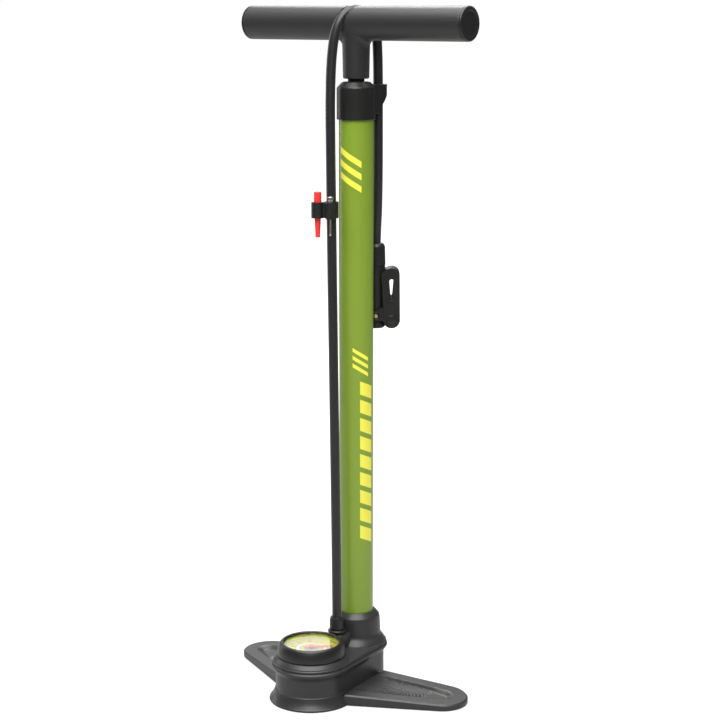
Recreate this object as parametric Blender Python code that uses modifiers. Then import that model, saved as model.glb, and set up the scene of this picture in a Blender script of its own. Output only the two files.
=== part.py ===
"""Floor bike pump: a steel barrel on a two-winged foot with a gauge in front of it, a T handle on a piston rod,
and a rubber hose that is parked over the handle with its valve head behind the barrel.

Frame: metres, +Z up. The origin is on the floor under the barrel's axis. The gauge stands in front, at -Y,
and the foot's wings and the handle lie along X. Every length below is given in millimetres times MM.
"""

import math

import bmesh
import bpy
import numpy as np
from mathutils import Matrix, Vector

MM = 0.001

# Clearances
FIT = 0.3 * MM  # between two pieces that touch or turn in each other, per side
HOSE_FIT = 0.5 * MM  # round the hose, per side
OVERCUT = 2.0 * MM  # how far a cutter runs past the face it opens

# Foot
FLOOR_GAP = 0.5 * MM  # the rubber pads hold the foot this far off the floor
BLOCK_WALL = 11.3 * MM  # from the barrel's surface to the block's rear
POT_RADIUS = 36.6 * MM
POT_SPACING = 43.0 * MM  # from the hose fitting's axis to the gauge's
LIP_BOTTOM = 36.6 * MM
LIP_TOP = 42.3 * MM
LIP_PROUD = 3.6 * MM  # the lip stands out this far from the wall below it
SKIRT_HEIGHT = 12.0 * MM
SKIRT_PROUD = 5.2 * MM
WING_ROOT = (25.0 * MM, -38.0 * MM, 41.0 * MM)  # centre x, centre y, radius
WING_TIP = (114.0 * MM, -8.0 * MM, 27.0 * MM)
WING_ROOT_HEIGHT = 12.8 * MM
WING_TIP_HEIGHT = 6.6 * MM
WING_BORDER = 12.5 * MM
CHANNEL_DEPTH = 2.6 * MM
WING_EDGE = 1.2 * MM
COLLAR_WALL = 7.1 * MM
COLLAR_HEIGHT = 75.1 * MM
COLLAR_CHAMFER = 5.4 * MM
SOCKET_FLOOR = 44.0 * MM
FITTING_GAP = 0.1 * MM  # seen from above, between the collar and the nipple's flange
FITTING_BOSS_RADIUS = 10.0 * MM
FITTING_BOSS_TOP = 57.0 * MM
AIRWAY_RADIUS = 2.0 * MM
AIRWAY_HEIGHT = 16.0 * MM
PAD_THICKNESS = 2.0 * MM

# Barrel and its foot valve
BARREL_RADIUS = 17.5 * MM
BARREL_WALL = 1.5 * MM
BARREL_LENGTH = 564.0 * MM
GASKET_THICKNESS = 1.4 * MM
VALVE_DISC_HEIGHT = 7.0 * MM
VALVE_STEM_RADIUS = 8.0 * MM
VALVE_STEM_LENGTH = 12.0 * MM
VALVE_PORT_RADIUS = 2.2 * MM
BALL_RADIUS = 3.4 * MM
SPRING_TURNS = 4
SPRING_WIRE = 0.35 * MM
SCREW_OFFSET = 12.0 * MM
SCREW_RADIUS = 1.9 * MM
SCREW_HEAD_RADIUS = 3.6 * MM
SCREW_HEAD_HEIGHT = 3.0 * MM
SCREW_SEAT = 30.0 * MM

# Top cap with its hose hook, guide bush and wiper
CAP_WALL = 2.1 * MM
CAP_HEIGHT = 37.4 * MM
CAP_OVERLAP = 23.7 * MM  # the cap covers this much of the barrel
CAP_CHAMFER = 5.4 * MM
CAP_CEILING = 11.7 * MM
BUSH_FLANGE = 1.4 * MM
BUSH_RADIUS = 12.0 * MM
BUSH_LENGTH = 10.0 * MM
BUSH_NOSE_RADIUS = 8.0 * MM
BUSH_NOSE = 9.0 * MM
WIPER_HEIGHT = 2.1 * MM
HOOK_CENTRE = (8.9 * MM, 24.9 * MM)
HOOK_WALL = 3.2 * MM
HOOK_TOP = 3.0 * MM  # below the cap's top
HOOK_HEIGHT = 28.5 * MM
HOOK_NOSE = 9.2 * MM
HOOK_GAP = 7.0 * MM

# Rod, piston and handle
ROD_RADIUS = 6.0 * MM
ROD_STUD_RADIUS = 3.7 * MM
PISTON_HEIGHT = 10.0 * MM
PISTON_NUT_RADIUS = 6.6 * MM
PISTON_NUT_HEIGHT = 3.8 * MM
SEAL_WIDTH = 2.6 * MM
SEAL_DEPTH = 2.2 * MM
BUMPER_RADIUS = 8.3 * MM
BUMPER_HEIGHT = 2.4 * MM
HANDLE_RADIUS = 17.0 * MM
HANDLE_LENGTH = 270.0 * MM
HANDLE_HEIGHT = 57.3 * MM  # from the cap's top to the handle's axis
HANDLE_BORE = 13.0 * MM
HANDLE_WEB = 24.0 * MM  # half the length of the solid middle
NECK_TOP_RADIUS = 13.9 * MM
NECK_BOTTOM_RADIUS = 13.2 * MM
NECK_EDGE = 1.5 * MM
NECK_FLARE = 2.6 * MM
ROD_SOCKET_ABOVE = 5.0 * MM  # from the handle's axis down to the rod's top
BOLT_RADIUS = 3.0 * MM
BOLT_HEAD_RADIUS = 5.0 * MM
BOLT_HEAD_HEIGHT = 3.4 * MM
BOLT_LENGTH = 24.0 * MM
END_CAP_THICKNESS = 2.6 * MM
END_CAP_PLUG = 9.0 * MM
GROOVE_FIT = 0.8 * MM
HOSE_REST = 13.2 * MM  # from the handle's axis up to the middle of the parked hose

# Gauge
BEZEL_RADIUS = 34.9 * MM
BEZEL_TOP_RADIUS = 30.4 * MM
BEZEL_HEIGHT = 18.6 * MM
BEZEL_OPENING = 28.0 * MM
BEZEL_BORE = 29.8 * MM
LENS_DEPTH = 2.7 * MM  # from the bezel's top to the lens
LENS_THICKNESS = 1.8 * MM
DIAL_RING_WIDTH = 2.4 * MM
DIAL_RING_HEIGHT = 4.0 * MM
DIAL_THICKNESS = 0.8 * MM
CAN_RADIUS = 27.0 * MM
CAN_WALL = 1.2 * MM
CAN_FLOOR = 22.0 * MM
CAN_STEM_RADIUS = 3.0 * MM
SPINDLE_RADIUS = 1.0 * MM
NEEDLE_HUB_RADIUS = 3.4 * MM
NEEDLE_HUB_HEIGHT = 2.2 * MM
NEEDLE_LENGTH = 21.5 * MM
NEEDLE_TAIL = 8.0 * MM
NEEDLE_WIDTH = 1.5 * MM
NEEDLE_THICKNESS = 0.7 * MM
NEEDLE_ZERO = math.radians(42.0)  # the dial's zero, turned from +X towards +Y
BOURDON_RADIUS = 19.0 * MM
BOURDON_TUBE = 1.6 * MM

# Hose and its fitting
HOSE_RADIUS = 4.9 * MM
NIPPLE_FLANGE_RADIUS = 9.3 * MM
NIPPLE_FLANGE_HEIGHT = 3.0 * MM
NIPPLE_STEM_RADIUS = 3.3 * MM
WASHER_THICKNESS = 1.0 * MM
NUT_RADIUS = 7.3 * MM
NUT_HEIGHT = 13.4 * MM
# The hose's route, in millimetres: up from the fitting, over the handle and down into the ferrule.
HOSE_ROUTE = (
    (0.0, -34.0, 63.0),
    (0.0, -34.0, 84.0),
    (-0.6, -33.7, 130.0),
    (-2.2, -32.8, 200.0),
    (-4.0, -32.0, 280.0),
    (-6.0, -31.0, 365.0),
    (-7.8, -30.1, 440.0),
    (-9.1, -29.3, 498.0),
    (-10.6, -28.3, 560.0),
    (-11.7, -27.2, 602.0),
    (-12.2, -25.4, 632.0),
    (-11.9, -23.6, 652.0),
    (-10.4, -21.4, 669.0),
    (-8.1, -17.4, 681.4),
    (-4.9, -10.4, 690.4),
    (0.0, 0.0, 694.2),
    (4.7, 10.4, 690.4),
    (7.8, 17.6, 681.4),
    (9.2, 21.6, 669.0),
    (9.5, 23.3, 650.0),
    (9.1, 24.6, 625.0),
    (8.9, 25.0, 606.0),
    (8.3, 26.0, 580.0),
    (6.4, 28.6, 530.0),
    (3.4, 31.7, 492.0),
    (0.8, 33.7, 470.0),
    (0.0, 34.2, 455.0),
    (0.0, 34.2, 437.0),
)
HOSE_POINTS = 60

# Clip on the hose, with the two inflation adapters it carries
CLIP_BOTTOM = 489.7 * MM
CLIP_HEIGHT = 16.2 * MM
CLIP_HOSE = (-9.1 * MM, -29.3 * MM)
CLIP_WALL = 1.9 * MM
CLIP_SLIT = 5.0 * MM
NEEDLE_PLACE = (-4.1 * MM, -37.6 * MM)
NEEDLE_COLLAR_RADIUS = 3.1 * MM
CONE_PLACE = (-19.0 * MM, -38.9 * MM)
CONE_TOP_RADIUS = 3.75 * MM
CONE_TIP_RADIUS = 2.35 * MM
CONE_TOP = 515.9 * MM
CONE_TIP = 470.4 * MM
CONE_WALL = 2.4 * MM
BALL_NEEDLE_TOP = 511.9 * MM
BALL_NEEDLE_TIP = 472.4 * MM

# Valve head on the hose's far end
HEAD_PLACE = (0.0, 34.2 * MM)
HEAD_TURN = math.radians(36.5)  # the side the lever is on, turned from +X
FERRULE_TOP = 458.5 * MM
FERRULE_BOTTOM = 435.7 * MM
FERRULE_RADIUS = 9.6 * MM
HEAD_RADIUS = 9.9 * MM
HEAD_BOTTOM = 378.5 * MM
NOSE_BOTTOM = 370.6 * MM
NOSE_RADIUS = 9.4 * MM
VALVE_MOUTH_RADIUS = 4.6 * MM
HEAD_GASKET_RADIUS = 6.3 * MM
HEAD_GASKET_BORE = 4.2 * MM
HEAD_GASKET_TOP = 380.3 * MM
LEVER_PIN_HEIGHT = 384.2 * MM
LEVER_PIN_RADIUS = 2.0 * MM
LEVER_HALF_WIDTH = 12.2 * MM
LEVER_CHEEK = 1.9 * MM
LEVER_KNUCKLE = (16.0 * MM, -4.0 * MM, 8.7 * MM)  # out from the pin, up from the pin, radius
LEVER_THUMB = (15.8 * MM, 41.6 * MM, 7.9 * MM)
LEVER_BOSS_RADIUS = 5.6 * MM
LEVER_SLOT = (15.7 * MM, 28.5 * MM)
LEVER_SLOT_LENGTH = 20.0 * MM
LEVER_SLOT_WIDTH = 5.0 * MM

# Radii and places that follow from the sizes above
BLOCK_REAR_RADIUS = BARREL_RADIUS + BLOCK_WALL
COLLAR_RADIUS = BARREL_RADIUS + COLLAR_WALL
CAP_RADIUS = BARREL_RADIUS + CAP_WALL
FITTING_OFFSET = COLLAR_RADIUS + FITTING_GAP + NIPPLE_FLANGE_RADIUS
POT_OFFSET = FITTING_OFFSET + POT_SPACING
PADS = {
    "foot_pad_rear": (0.0, 0.0, 15.7 * MM),
    "foot_pad_front": (0.0, -POT_OFFSET, 22.0 * MM),
    "foot_pad_left": (-112.0 * MM, -8.0 * MM, 11.0 * MM),
    "foot_pad_right": (112.0 * MM, -8.0 * MM, 11.0 * MM),
}

# Heights that follow from the sizes above
BARREL_BOTTOM = SOCKET_FLOOR + GASKET_THICKNESS + 2 * FIT
BARREL_TOP = BARREL_BOTTOM + BARREL_LENGTH
BARREL_BORE = BARREL_RADIUS - BARREL_WALL
CAP_BOTTOM = BARREL_TOP - CAP_OVERLAP
CAP_TOP = CAP_BOTTOM + CAP_HEIGHT
CEILING_BOTTOM = CAP_TOP - CAP_CEILING
BUSH_FLANGE_BOTTOM = BARREL_TOP + FIT
VALVE_TOP = BARREL_BOTTOM + VALVE_DISC_HEIGHT
PISTON_NUT_BOTTOM = VALVE_TOP + 1.2 * MM
PISTON_BOTTOM = PISTON_NUT_BOTTOM + PISTON_NUT_HEIGHT + FIT
PISTON_TOP = PISTON_BOTTOM + PISTON_HEIGHT
HANDLE_AXIS = CAP_TOP + HANDLE_HEIGHT
NECK_BOTTOM = CAP_TOP + BUMPER_HEIGHT + 2 * FIT
ROD_TOP = HANDLE_AXIS - ROD_SOCKET_ABOVE
GAUGE_PLACE = (0.0, -POT_OFFSET)
FITTING_PLACE = (0.0, -FITTING_OFFSET)
BEZEL_BOTTOM = LIP_TOP + FIT
BEZEL_TOP = BEZEL_BOTTOM + BEZEL_HEIGHT
LENS_TOP = BEZEL_TOP - LENS_DEPTH
DIAL_RING_TOP = LENS_TOP - LENS_THICKNESS - FIT
DIAL_TOP = DIAL_RING_TOP - DIAL_RING_HEIGHT - FIT
CAN_TOP = DIAL_TOP - DIAL_THICKNESS - FIT
NIPPLE_BOTTOM = FITTING_BOSS_TOP + FIT
NUT_BOTTOM = NIPPLE_BOTTOM + WASHER_THICKNESS + FIT + NIPPLE_FLANGE_HEIGHT + FIT


# --- Scene, materials and collections ---------------------------------------------------------------------------


def clear_scene():
    """Removes every object of the open scene."""
    for old in list(bpy.data.objects):
        bpy.data.objects.remove(old, do_unlink=True)


def collection(name):
    """A new collection in the scene."""
    made = bpy.data.collections.new(name)
    bpy.context.scene.collection.children.link(made)
    return made


def material(name, colour, roughness, metallic=0.0):
    """A Principled material of one finish."""
    made = bpy.data.materials.new(name)
    made.use_nodes = True
    shader = made.node_tree.nodes["Principled BSDF"]
    shader.inputs["Base Color"].default_value = (*colour, 1.0)
    shader.inputs["Roughness"].default_value = roughness
    shader.inputs["Metallic"].default_value = metallic
    made.diffuse_color = (*colour, 1.0)
    return made


clear_scene()
PUMP = collection("floor_pump")
CUTTERS = collection("floor_pump_cutters")

PAINT = material("barrel_green_paint", (0.30, 0.42, 0.05), 0.38)
FOOT_PLASTIC = material("foot_dark_nylon", (0.055, 0.052, 0.052), 0.5)
BLACK_PLASTIC = material("black_nylon", (0.02, 0.02, 0.019), 0.45)
GRIP_RUBBER = material("soft_grip_rubber", (0.03, 0.03, 0.032), 0.6)
HOSE_RUBBER = material("hose_rubber", (0.018, 0.018, 0.02), 0.4)
SEAL_RUBBER = material("seal_rubber", (0.015, 0.015, 0.015), 0.7)
STEEL = material("bright_steel", (0.62, 0.62, 0.62), 0.25, 1.0)
BRASS = material("brass", (0.75, 0.58, 0.28), 0.3, 1.0)
BUSH_PLASTIC = material("natural_acetal", (0.75, 0.74, 0.7), 0.4)
DIAL_PAPER = material("dial_print", (0.75, 0.75, 0.68), 0.5)
LIME_PLASTIC = material("lime_dial_ring", (0.55, 0.62, 0.1), 0.4)
CLEAR_PLASTIC = material("clear_lens", (0.9, 0.92, 0.92), 0.05)
RED_PLASTIC = material("red_plastic", (0.85, 0.03, 0.03), 0.35)


# --- Shapes -----------------------------------------------------------------------------------------------------


def arc(centre, radius, start, end, steps):
    """Points along an arc, from one angle to another, both ends among them."""
    angles = np.linspace(start, end, steps)
    return [(centre[0] + radius * math.cos(a), centre[1] + radius * math.sin(a)) for a in angles]


def wrapped(first, second, steps=14):
    """The outline of a band stretched round two circles, each given as centre x, centre y and radius."""
    along = math.atan2(second[1] - first[1], second[0] - first[0])
    apart = math.hypot(second[0] - first[0], second[1] - first[1])
    tilt = math.acos((first[2] - second[2]) / apart)
    near = arc(first, first[2], along + tilt, along - tilt + 2 * math.pi, steps)
    far = arc(second, second[2], along - tilt, along + tilt, steps)
    return near + far


def mirrored(outline):
    """An outline reflected in the YZ plane, still running the same way round."""
    return [(-x, y) for x, y in reversed(outline)]


def placed(name, data, finish, where):
    """A new object in one of the two collections, with its finish."""
    made = bpy.data.objects.new(name, data)
    where.objects.link(made)
    if finish is not None:
        data.materials.append(finish)
    if where is CUTTERS:
        made.hide_render = True
        made.display_type = "WIRE"
    return made


def smooth(made):
    """Smooth shading that keeps the edges sharper than 35 degrees."""
    made.data.shade_smooth()
    made.data.set_sharp_from_angle(angle=math.radians(35))
    return made


def turned(name, profile, finish=None, where=PUMP, at=(0.0, 0.0), closed=False, steps=24):
    """A piece turned round the vertical axis at a place. The profile is radius and height, down its outer side."""
    data = bpy.data.meshes.new(name)
    shape = bmesh.new()
    points = [shape.verts.new((radius, 0.0, height)) for radius, height in profile]
    for a, b in zip(points, points[1:]):
        shape.edges.new((a, b))
    if closed:
        shape.edges.new((points[-1], points[0]))
    shape.to_mesh(data)
    shape.free()
    made = placed(name, data, finish, where)
    made.location = (at[0], at[1], 0.0)
    screw = made.modifiers.new("turn", "SCREW")
    screw.axis = "Z"
    screw.steps = steps
    screw.render_steps = steps
    screw.use_merge_vertices = True
    screw.merge_threshold = 0.00001
    screw.use_smooth_shade = True
    return made


def ring(name, outer, inner, bottom, top, finish=None, where=PUMP, at=(0.0, 0.0), edge=0.0, steps=24):
    """A plain turned ring, with its outer edges broken by edge."""
    profile = [(inner, top), (outer - edge, top)]
    if edge:
        profile += [(outer, top - edge), (outer, bottom + edge)]
    profile += [(outer - edge, bottom), (inner, bottom)]
    return turned(name, profile, finish, where, at, closed=True, steps=steps)


def disc(name, radius, bottom, top, finish=None, where=PUMP, at=(0.0, 0.0), segments=24, turn=0.0):
    """An upright cylinder."""
    data = bpy.data.meshes.new(name)
    shape = bmesh.new()
    bmesh.ops.create_cone(
        shape, cap_ends=True, segments=segments, radius1=radius, radius2=radius, depth=top - bottom
    )
    shape.to_mesh(data)
    shape.free()
    made = placed(name, data, finish, where)
    made.location = (at[0], at[1], (top + bottom) / 2)
    made.rotation_euler = (0.0, 0.0, turn)
    return smooth(made)


def rod(name, radius, start, end, finish=None, where=PUMP, segments=20):
    """A cylinder from one point to another."""
    start, end = Vector(start), Vector(end)
    data = bpy.data.meshes.new(name)
    shape = bmesh.new()
    bmesh.ops.create_cone(
        shape, cap_ends=True, segments=segments, radius1=radius, radius2=radius, depth=(end - start).length
    )
    shape.to_mesh(data)
    shape.free()
    made = placed(name, data, finish, where)
    made.location = (start + end) / 2
    made.rotation_euler = (end - start).to_track_quat("Z", "Y").to_euler()
    return smooth(made)


def block(name, size, centre, where=PUMP, turn=(0.0, 0.0, 0.0), finish=None):
    """A box of a size, about a centre."""
    data = bpy.data.meshes.new(name)
    shape = bmesh.new()
    bmesh.ops.create_cube(shape, size=1.0, matrix=Matrix.Diagonal((*size, 1.0)))
    shape.to_mesh(data)
    shape.free()
    made = placed(name, data, finish, where)
    made.location = centre
    made.rotation_euler = turn
    return made


def as_mesh(curve, weld=1e-6):
    """The curve object made a mesh object of the same name, its loose caps welded to its sides."""
    bpy.context.view_layer.update()
    graph = bpy.context.evaluated_depsgraph_get()
    data = bpy.data.meshes.new_from_object(curve.evaluated_get(graph))
    name, where, turn = curve.name, curve.users_collection[0], curve.matrix_world.copy()
    bpy.data.objects.remove(curve, do_unlink=True)
    shape = bmesh.new()
    shape.from_mesh(data)
    bmesh.ops.remove_doubles(shape, verts=shape.verts, dist=weld)
    shape.to_mesh(data)
    shape.free()
    made = placed(name, data, None, where)
    made.matrix_world = turn
    return made


def plate(name, outlines, bottom, top, finish=None, where=PUMP):
    """A flat piece cut to its outlines, one of which may be a hole in another."""
    data = bpy.data.curves.new(name, "CURVE")
    data.dimensions = "2D"
    data.fill_mode = "BOTH"
    data.extrude = (top - bottom) / 2
    for outline in outlines:
        spline = data.splines.new("POLY")
        spline.points.add(len(outline) - 1)
        for point, (x, y) in zip(spline.points, outline):
            point.co = (x, y, 0.0, 1.0)
        spline.use_cyclic_u = True
    made = placed(name, data, finish, where)
    made.location = (0.0, 0.0, (top + bottom) / 2)
    return as_mesh(made)


def combined(target, others, operation):
    """Adds one Boolean per other object, and hides the others among the cutters."""
    for other in others:
        cut = target.modifiers.new(other.name, "BOOLEAN")
        cut.operation = operation
        cut.solver = "EXACT"
        cut.object = other
    return target


def carved(target, *cutters):
    return combined(target, cutters, "DIFFERENCE")


def joined(target, *pieces):
    return combined(target, pieces, "UNION")


def bevelled(made, width, angle=40.0, segments=1):
    """Breaks the edges sharper than an angle."""
    edge = made.modifiers.new("edge", "BEVEL")
    edge.width = width
    edge.segments = segments
    edge.limit_method = "ANGLE"
    edge.angle_limit = math.radians(angle)
    edge.use_clamp_overlap = True
    return made


def bored(target, name, radius, bottom, top, at=(0.0, 0.0), segments=24):
    """Drills an upright hole."""
    return carved(target, disc("cut_" + name, radius, bottom, top, where=CUTTERS, at=at, segments=segments))


def smooth_route(route, count):
    """Points at even lengths along a smooth curve through the route, which is in millimetres."""
    knots = np.array(route) * MM
    steps = np.linalg.norm(np.diff(knots, axis=0), axis=1)
    at = np.concatenate([[0.0], np.cumsum(np.sqrt(steps))])
    slope = np.gradient(knots, at, axis=0)
    fine = []
    for i in range(len(knots) - 1):
        span = at[i + 1] - at[i]
        t = np.linspace(0.0, 1.0, 24, endpoint=False)[:, None]
        fine.append(
            (2 * t**3 - 3 * t**2 + 1) * knots[i]
            + (t**3 - 2 * t**2 + t) * span * slope[i]
            + (3 * t**2 - 2 * t**3) * knots[i + 1]
            + (t**3 - t**2) * span * slope[i + 1]
        )
    fine = np.vstack([*fine, knots[-1:]])
    length = np.concatenate([[0.0], np.cumsum(np.linalg.norm(np.diff(fine, axis=0), axis=1))])
    even = np.linspace(0.0, length[-1], count)
    return np.column_stack([np.interp(even, length, fine[:, k]) for k in range(3)])


def tube(name, points, radius, finish=None, where=PUMP, sides=3):
    """A round tube solid along points. sides is the curve's bevel resolution."""
    data = bpy.data.curves.new(name, "CURVE")
    data.dimensions = "3D"
    data.bevel_depth = radius
    data.bevel_resolution = sides
    data.use_fill_caps = True
    spline = data.splines.new("POLY")
    spline.points.add(len(points) - 1)
    for point, place in zip(spline.points, points):
        point.co = (*place, 1.0)
    return placed(name, data, finish, where)


# --- Foot -------------------------------------------------------------------------------------------------------


def foot_outline(pot_radius, rear_radius):
    """The outline round the gauge pot and the barrel's block."""
    return wrapped((0.0, 0.0, rear_radius), (0.0, -POT_OFFSET, pot_radius), steps=20)


def wing_slope():
    """How much the wing's top tilts down from its root to its tip."""
    reach = WING_TIP[0] + WING_TIP[2] - WING_ROOT[0]
    return math.atan2(WING_ROOT_HEIGHT - WING_TIP_HEIGHT, reach)


def wing_solid(side):
    """One wing: a flat blank cut down to its sloping top, with a channel between its raised borders."""
    outline = wrapped(WING_ROOT, WING_TIP)
    inner_root = (WING_ROOT[0], WING_ROOT[1], WING_ROOT[2] - WING_BORDER)
    inner_tip = (WING_TIP[0], WING_TIP[1], WING_TIP[2] - WING_BORDER)
    channel = wrapped(inner_root, inner_tip)
    name = "left" if side < 0 else "right"
    if side < 0:
        outline = mirrored(outline)
        channel = mirrored(channel)
    wing = plate("wing_" + name, [outline], -1.6 * OVERCUT, WING_ROOT_HEIGHT + OVERCUT, where=CUTTERS)
    slope = wing_slope()
    root = Vector((side * WING_ROOT[0], 0.0, WING_ROOT_HEIGHT))
    turn = (0.0, side * slope, 0.0)
    normal = Vector((side * math.sin(slope), 0.0, math.cos(slope)))
    thick = 20 * MM
    above = block("cut_wing_top_" + name, (0.4, 0.3, thick), root + normal * thick / 2, CUTTERS, turn)
    groove = plate("cut_channel_" + name, [channel], -CHANNEL_DEPTH, thick, where=CUTTERS)
    groove.rotation_euler = turn
    middle = (thick - CHANNEL_DEPTH) / 2
    pivot = root + normal * middle
    lean = Matrix.Rotation(side * slope, 3, "Y") @ Vector((root.x, 0.0, 0.0))
    groove.location = pivot - lean
    return bevelled(carved(wing, above, groove), WING_EDGE, angle=50)


def bezel_profile(grow=0.0):
    """The bezel's outer side, from its top rim down, moved out by grow."""
    span = BEZEL_RADIUS - BEZEL_TOP_RADIUS
    shape = ((0.0, 1.0), (0.3, 0.92), (0.62, 0.74), (0.92, 0.5), (1.0, 0.27), (0.84, 0.1), (0.6, 0.0))
    return [
        (BEZEL_TOP_RADIUS + span * a + grow, BEZEL_BOTTOM + BEZEL_HEIGHT * b + grow * (b > 0.9))
        for a, b in shape
    ]


def collar_profile():
    """The barrel's collar on the foot, from its top down to a shoulder that runs out onto the lip."""
    return [
        (0.0, COLLAR_HEIGHT),
        (COLLAR_RADIUS - COLLAR_CHAMFER, COLLAR_HEIGHT),
        (COLLAR_RADIUS - 0.6 * MM, COLLAR_HEIGHT - COLLAR_CHAMFER),
        (COLLAR_RADIUS + 0.3 * MM, LIP_TOP + 8 * MM),
        (BLOCK_REAR_RADIUS, LIP_TOP + 3 * MM),
        (BLOCK_REAR_RADIUS + LIP_PROUD - 0.8 * MM, LIP_TOP - 1 * MM),
        (BLOCK_REAR_RADIUS - 2 * MM, LIP_BOTTOM - 1 * MM),
        (0.0, LIP_BOTTOM - 1 * MM),
    ]


def make_foot():
    """The moulded foot: gauge pot, barrel block, lip, skirt, wings, collar and the hose fitting's boss."""
    foot = plate("base_casting", [foot_outline(POT_RADIUS, BLOCK_REAR_RADIUS)], -OVERCUT, LIP_BOTTOM + 2 * MM)
    foot.data.materials.append(FOOT_PLASTIC)
    lip_outline = foot_outline(POT_RADIUS + LIP_PROUD, BLOCK_REAR_RADIUS + LIP_PROUD)
    lip = bevelled(plate("foot_lip", [lip_outline], LIP_BOTTOM, LIP_TOP, where=CUTTERS), 1.3 * MM, 60)
    skirt_profile = [
        (0.0, SKIRT_HEIGHT),
        (POT_RADIUS - 0.4 * MM, SKIRT_HEIGHT),
        (POT_RADIUS + 0.3 * SKIRT_PROUD, 0.6 * SKIRT_HEIGHT),
        (POT_RADIUS + SKIRT_PROUD, 2.5 * MM),
        (POT_RADIUS + SKIRT_PROUD, -1.3 * OVERCUT),
        (0.0, -1.3 * OVERCUT),
    ]
    skirt = turned("foot_skirt", skirt_profile, where=CUTTERS, at=GAUGE_PLACE, steps=32)
    collar = turned("foot_collar", collar_profile(), where=CUTTERS, steps=30)
    boss_outline = wrapped(
        (0.0, -0.6 * FITTING_OFFSET, FITTING_BOSS_RADIUS), (0.0, -FITTING_OFFSET, FITTING_BOSS_RADIUS), 12
    )
    boss = plate("foot_boss", [boss_outline], LIP_TOP - 3 * MM, FITTING_BOSS_TOP, where=CUTTERS)
    bezel_space = [(0.0, BEZEL_TOP + OVERCUT), (bezel_profile(FIT)[0][0], BEZEL_TOP + OVERCUT)]
    bezel_space += bezel_profile(2 * FIT) + [(0.0, BEZEL_BOTTOM)]
    carved(boss, turned("cut_bezel_space", bezel_space, where=CUTTERS, at=GAUGE_PLACE))
    joined(foot, wing_solid(1), wing_solid(-1), skirt, lip, collar, boss)
    slab = 20 * MM
    carved(foot, block("cut_underside", (0.5, 0.5, slab), (0.0, 0.0, FLOOR_GAP - slab / 2), CUTTERS))
    carve_foot(foot)
    return foot


def carve_foot(foot):
    """The sockets, bores and airways of the foot."""
    bored(foot, "barrel_socket", BARREL_RADIUS + FIT, SOCKET_FLOOR, COLLAR_HEIGHT + OVERCUT, segments=30)
    bored(foot, "valve_chamber", VALVE_STEM_RADIUS + FIT, AIRWAY_HEIGHT - 2 * MM, SOCKET_FLOOR + 1 * MM)
    bored(foot, "gauge_pocket", CAN_RADIUS + 3 * MM, CAN_FLOOR, LIP_TOP + OVERCUT, GAUGE_PLACE, 30)
    bored(foot, "gauge_inlet", CAN_STEM_RADIUS + FIT, AIRWAY_HEIGHT, CAN_FLOOR + 1 * MM, GAUGE_PLACE, 16)
    boss_top = FITTING_BOSS_TOP + OVERCUT
    bored(foot, "fitting_hole", NIPPLE_STEM_RADIUS + FIT, AIRWAY_HEIGHT, boss_top, FITTING_PLACE, 20)
    airway = rod(
        "cut_airway", AIRWAY_RADIUS, (0, 0, AIRWAY_HEIGHT), (0, -POT_OFFSET, AIRWAY_HEIGHT), None, CUTTERS, 12
    )
    carved(foot, airway)
    for name, (x, y, radius) in PADS.items():
        bored(foot, name, radius + FIT, -OVERCUT, PAD_THICKNESS + FIT, (x, y), 32)
    for side in (-1, 1):
        place = (side * SCREW_OFFSET, 0.0)
        bored(foot, f"screw_head_{side}", SCREW_HEAD_RADIUS + FIT, 0.0, SCREW_SEAT, place, 16)
        seat, floor = SCREW_SEAT - 1 * MM, SOCKET_FLOOR + 1 * MM
        bored(foot, f"screw_hole_{side}", SCREW_RADIUS + FIT, seat, floor, place, 16)


def make_pads():
    for name, (x, y, radius) in PADS.items():
        disc(name, radius, 0.0, PAD_THICKNESS, SEAL_RUBBER, at=(x, y), segments=32)


# --- Barrel, foot valve and top cap -----------------------------------------------------------------------------


def make_barrel():
    ring("barrel_tube", BARREL_RADIUS, BARREL_BORE, BARREL_BOTTOM, BARREL_TOP, PAINT, edge=0.3 * MM, steps=30)
    gasket_bottom = SOCKET_FLOOR + FIT
    ring(
        "barrel_gasket",
        BARREL_RADIUS - 0.2 * MM,
        BARREL_BORE - 0.8 * MM,
        gasket_bottom,
        gasket_bottom + GASKET_THICKNESS,
        SEAL_RUBBER,
    )


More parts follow.
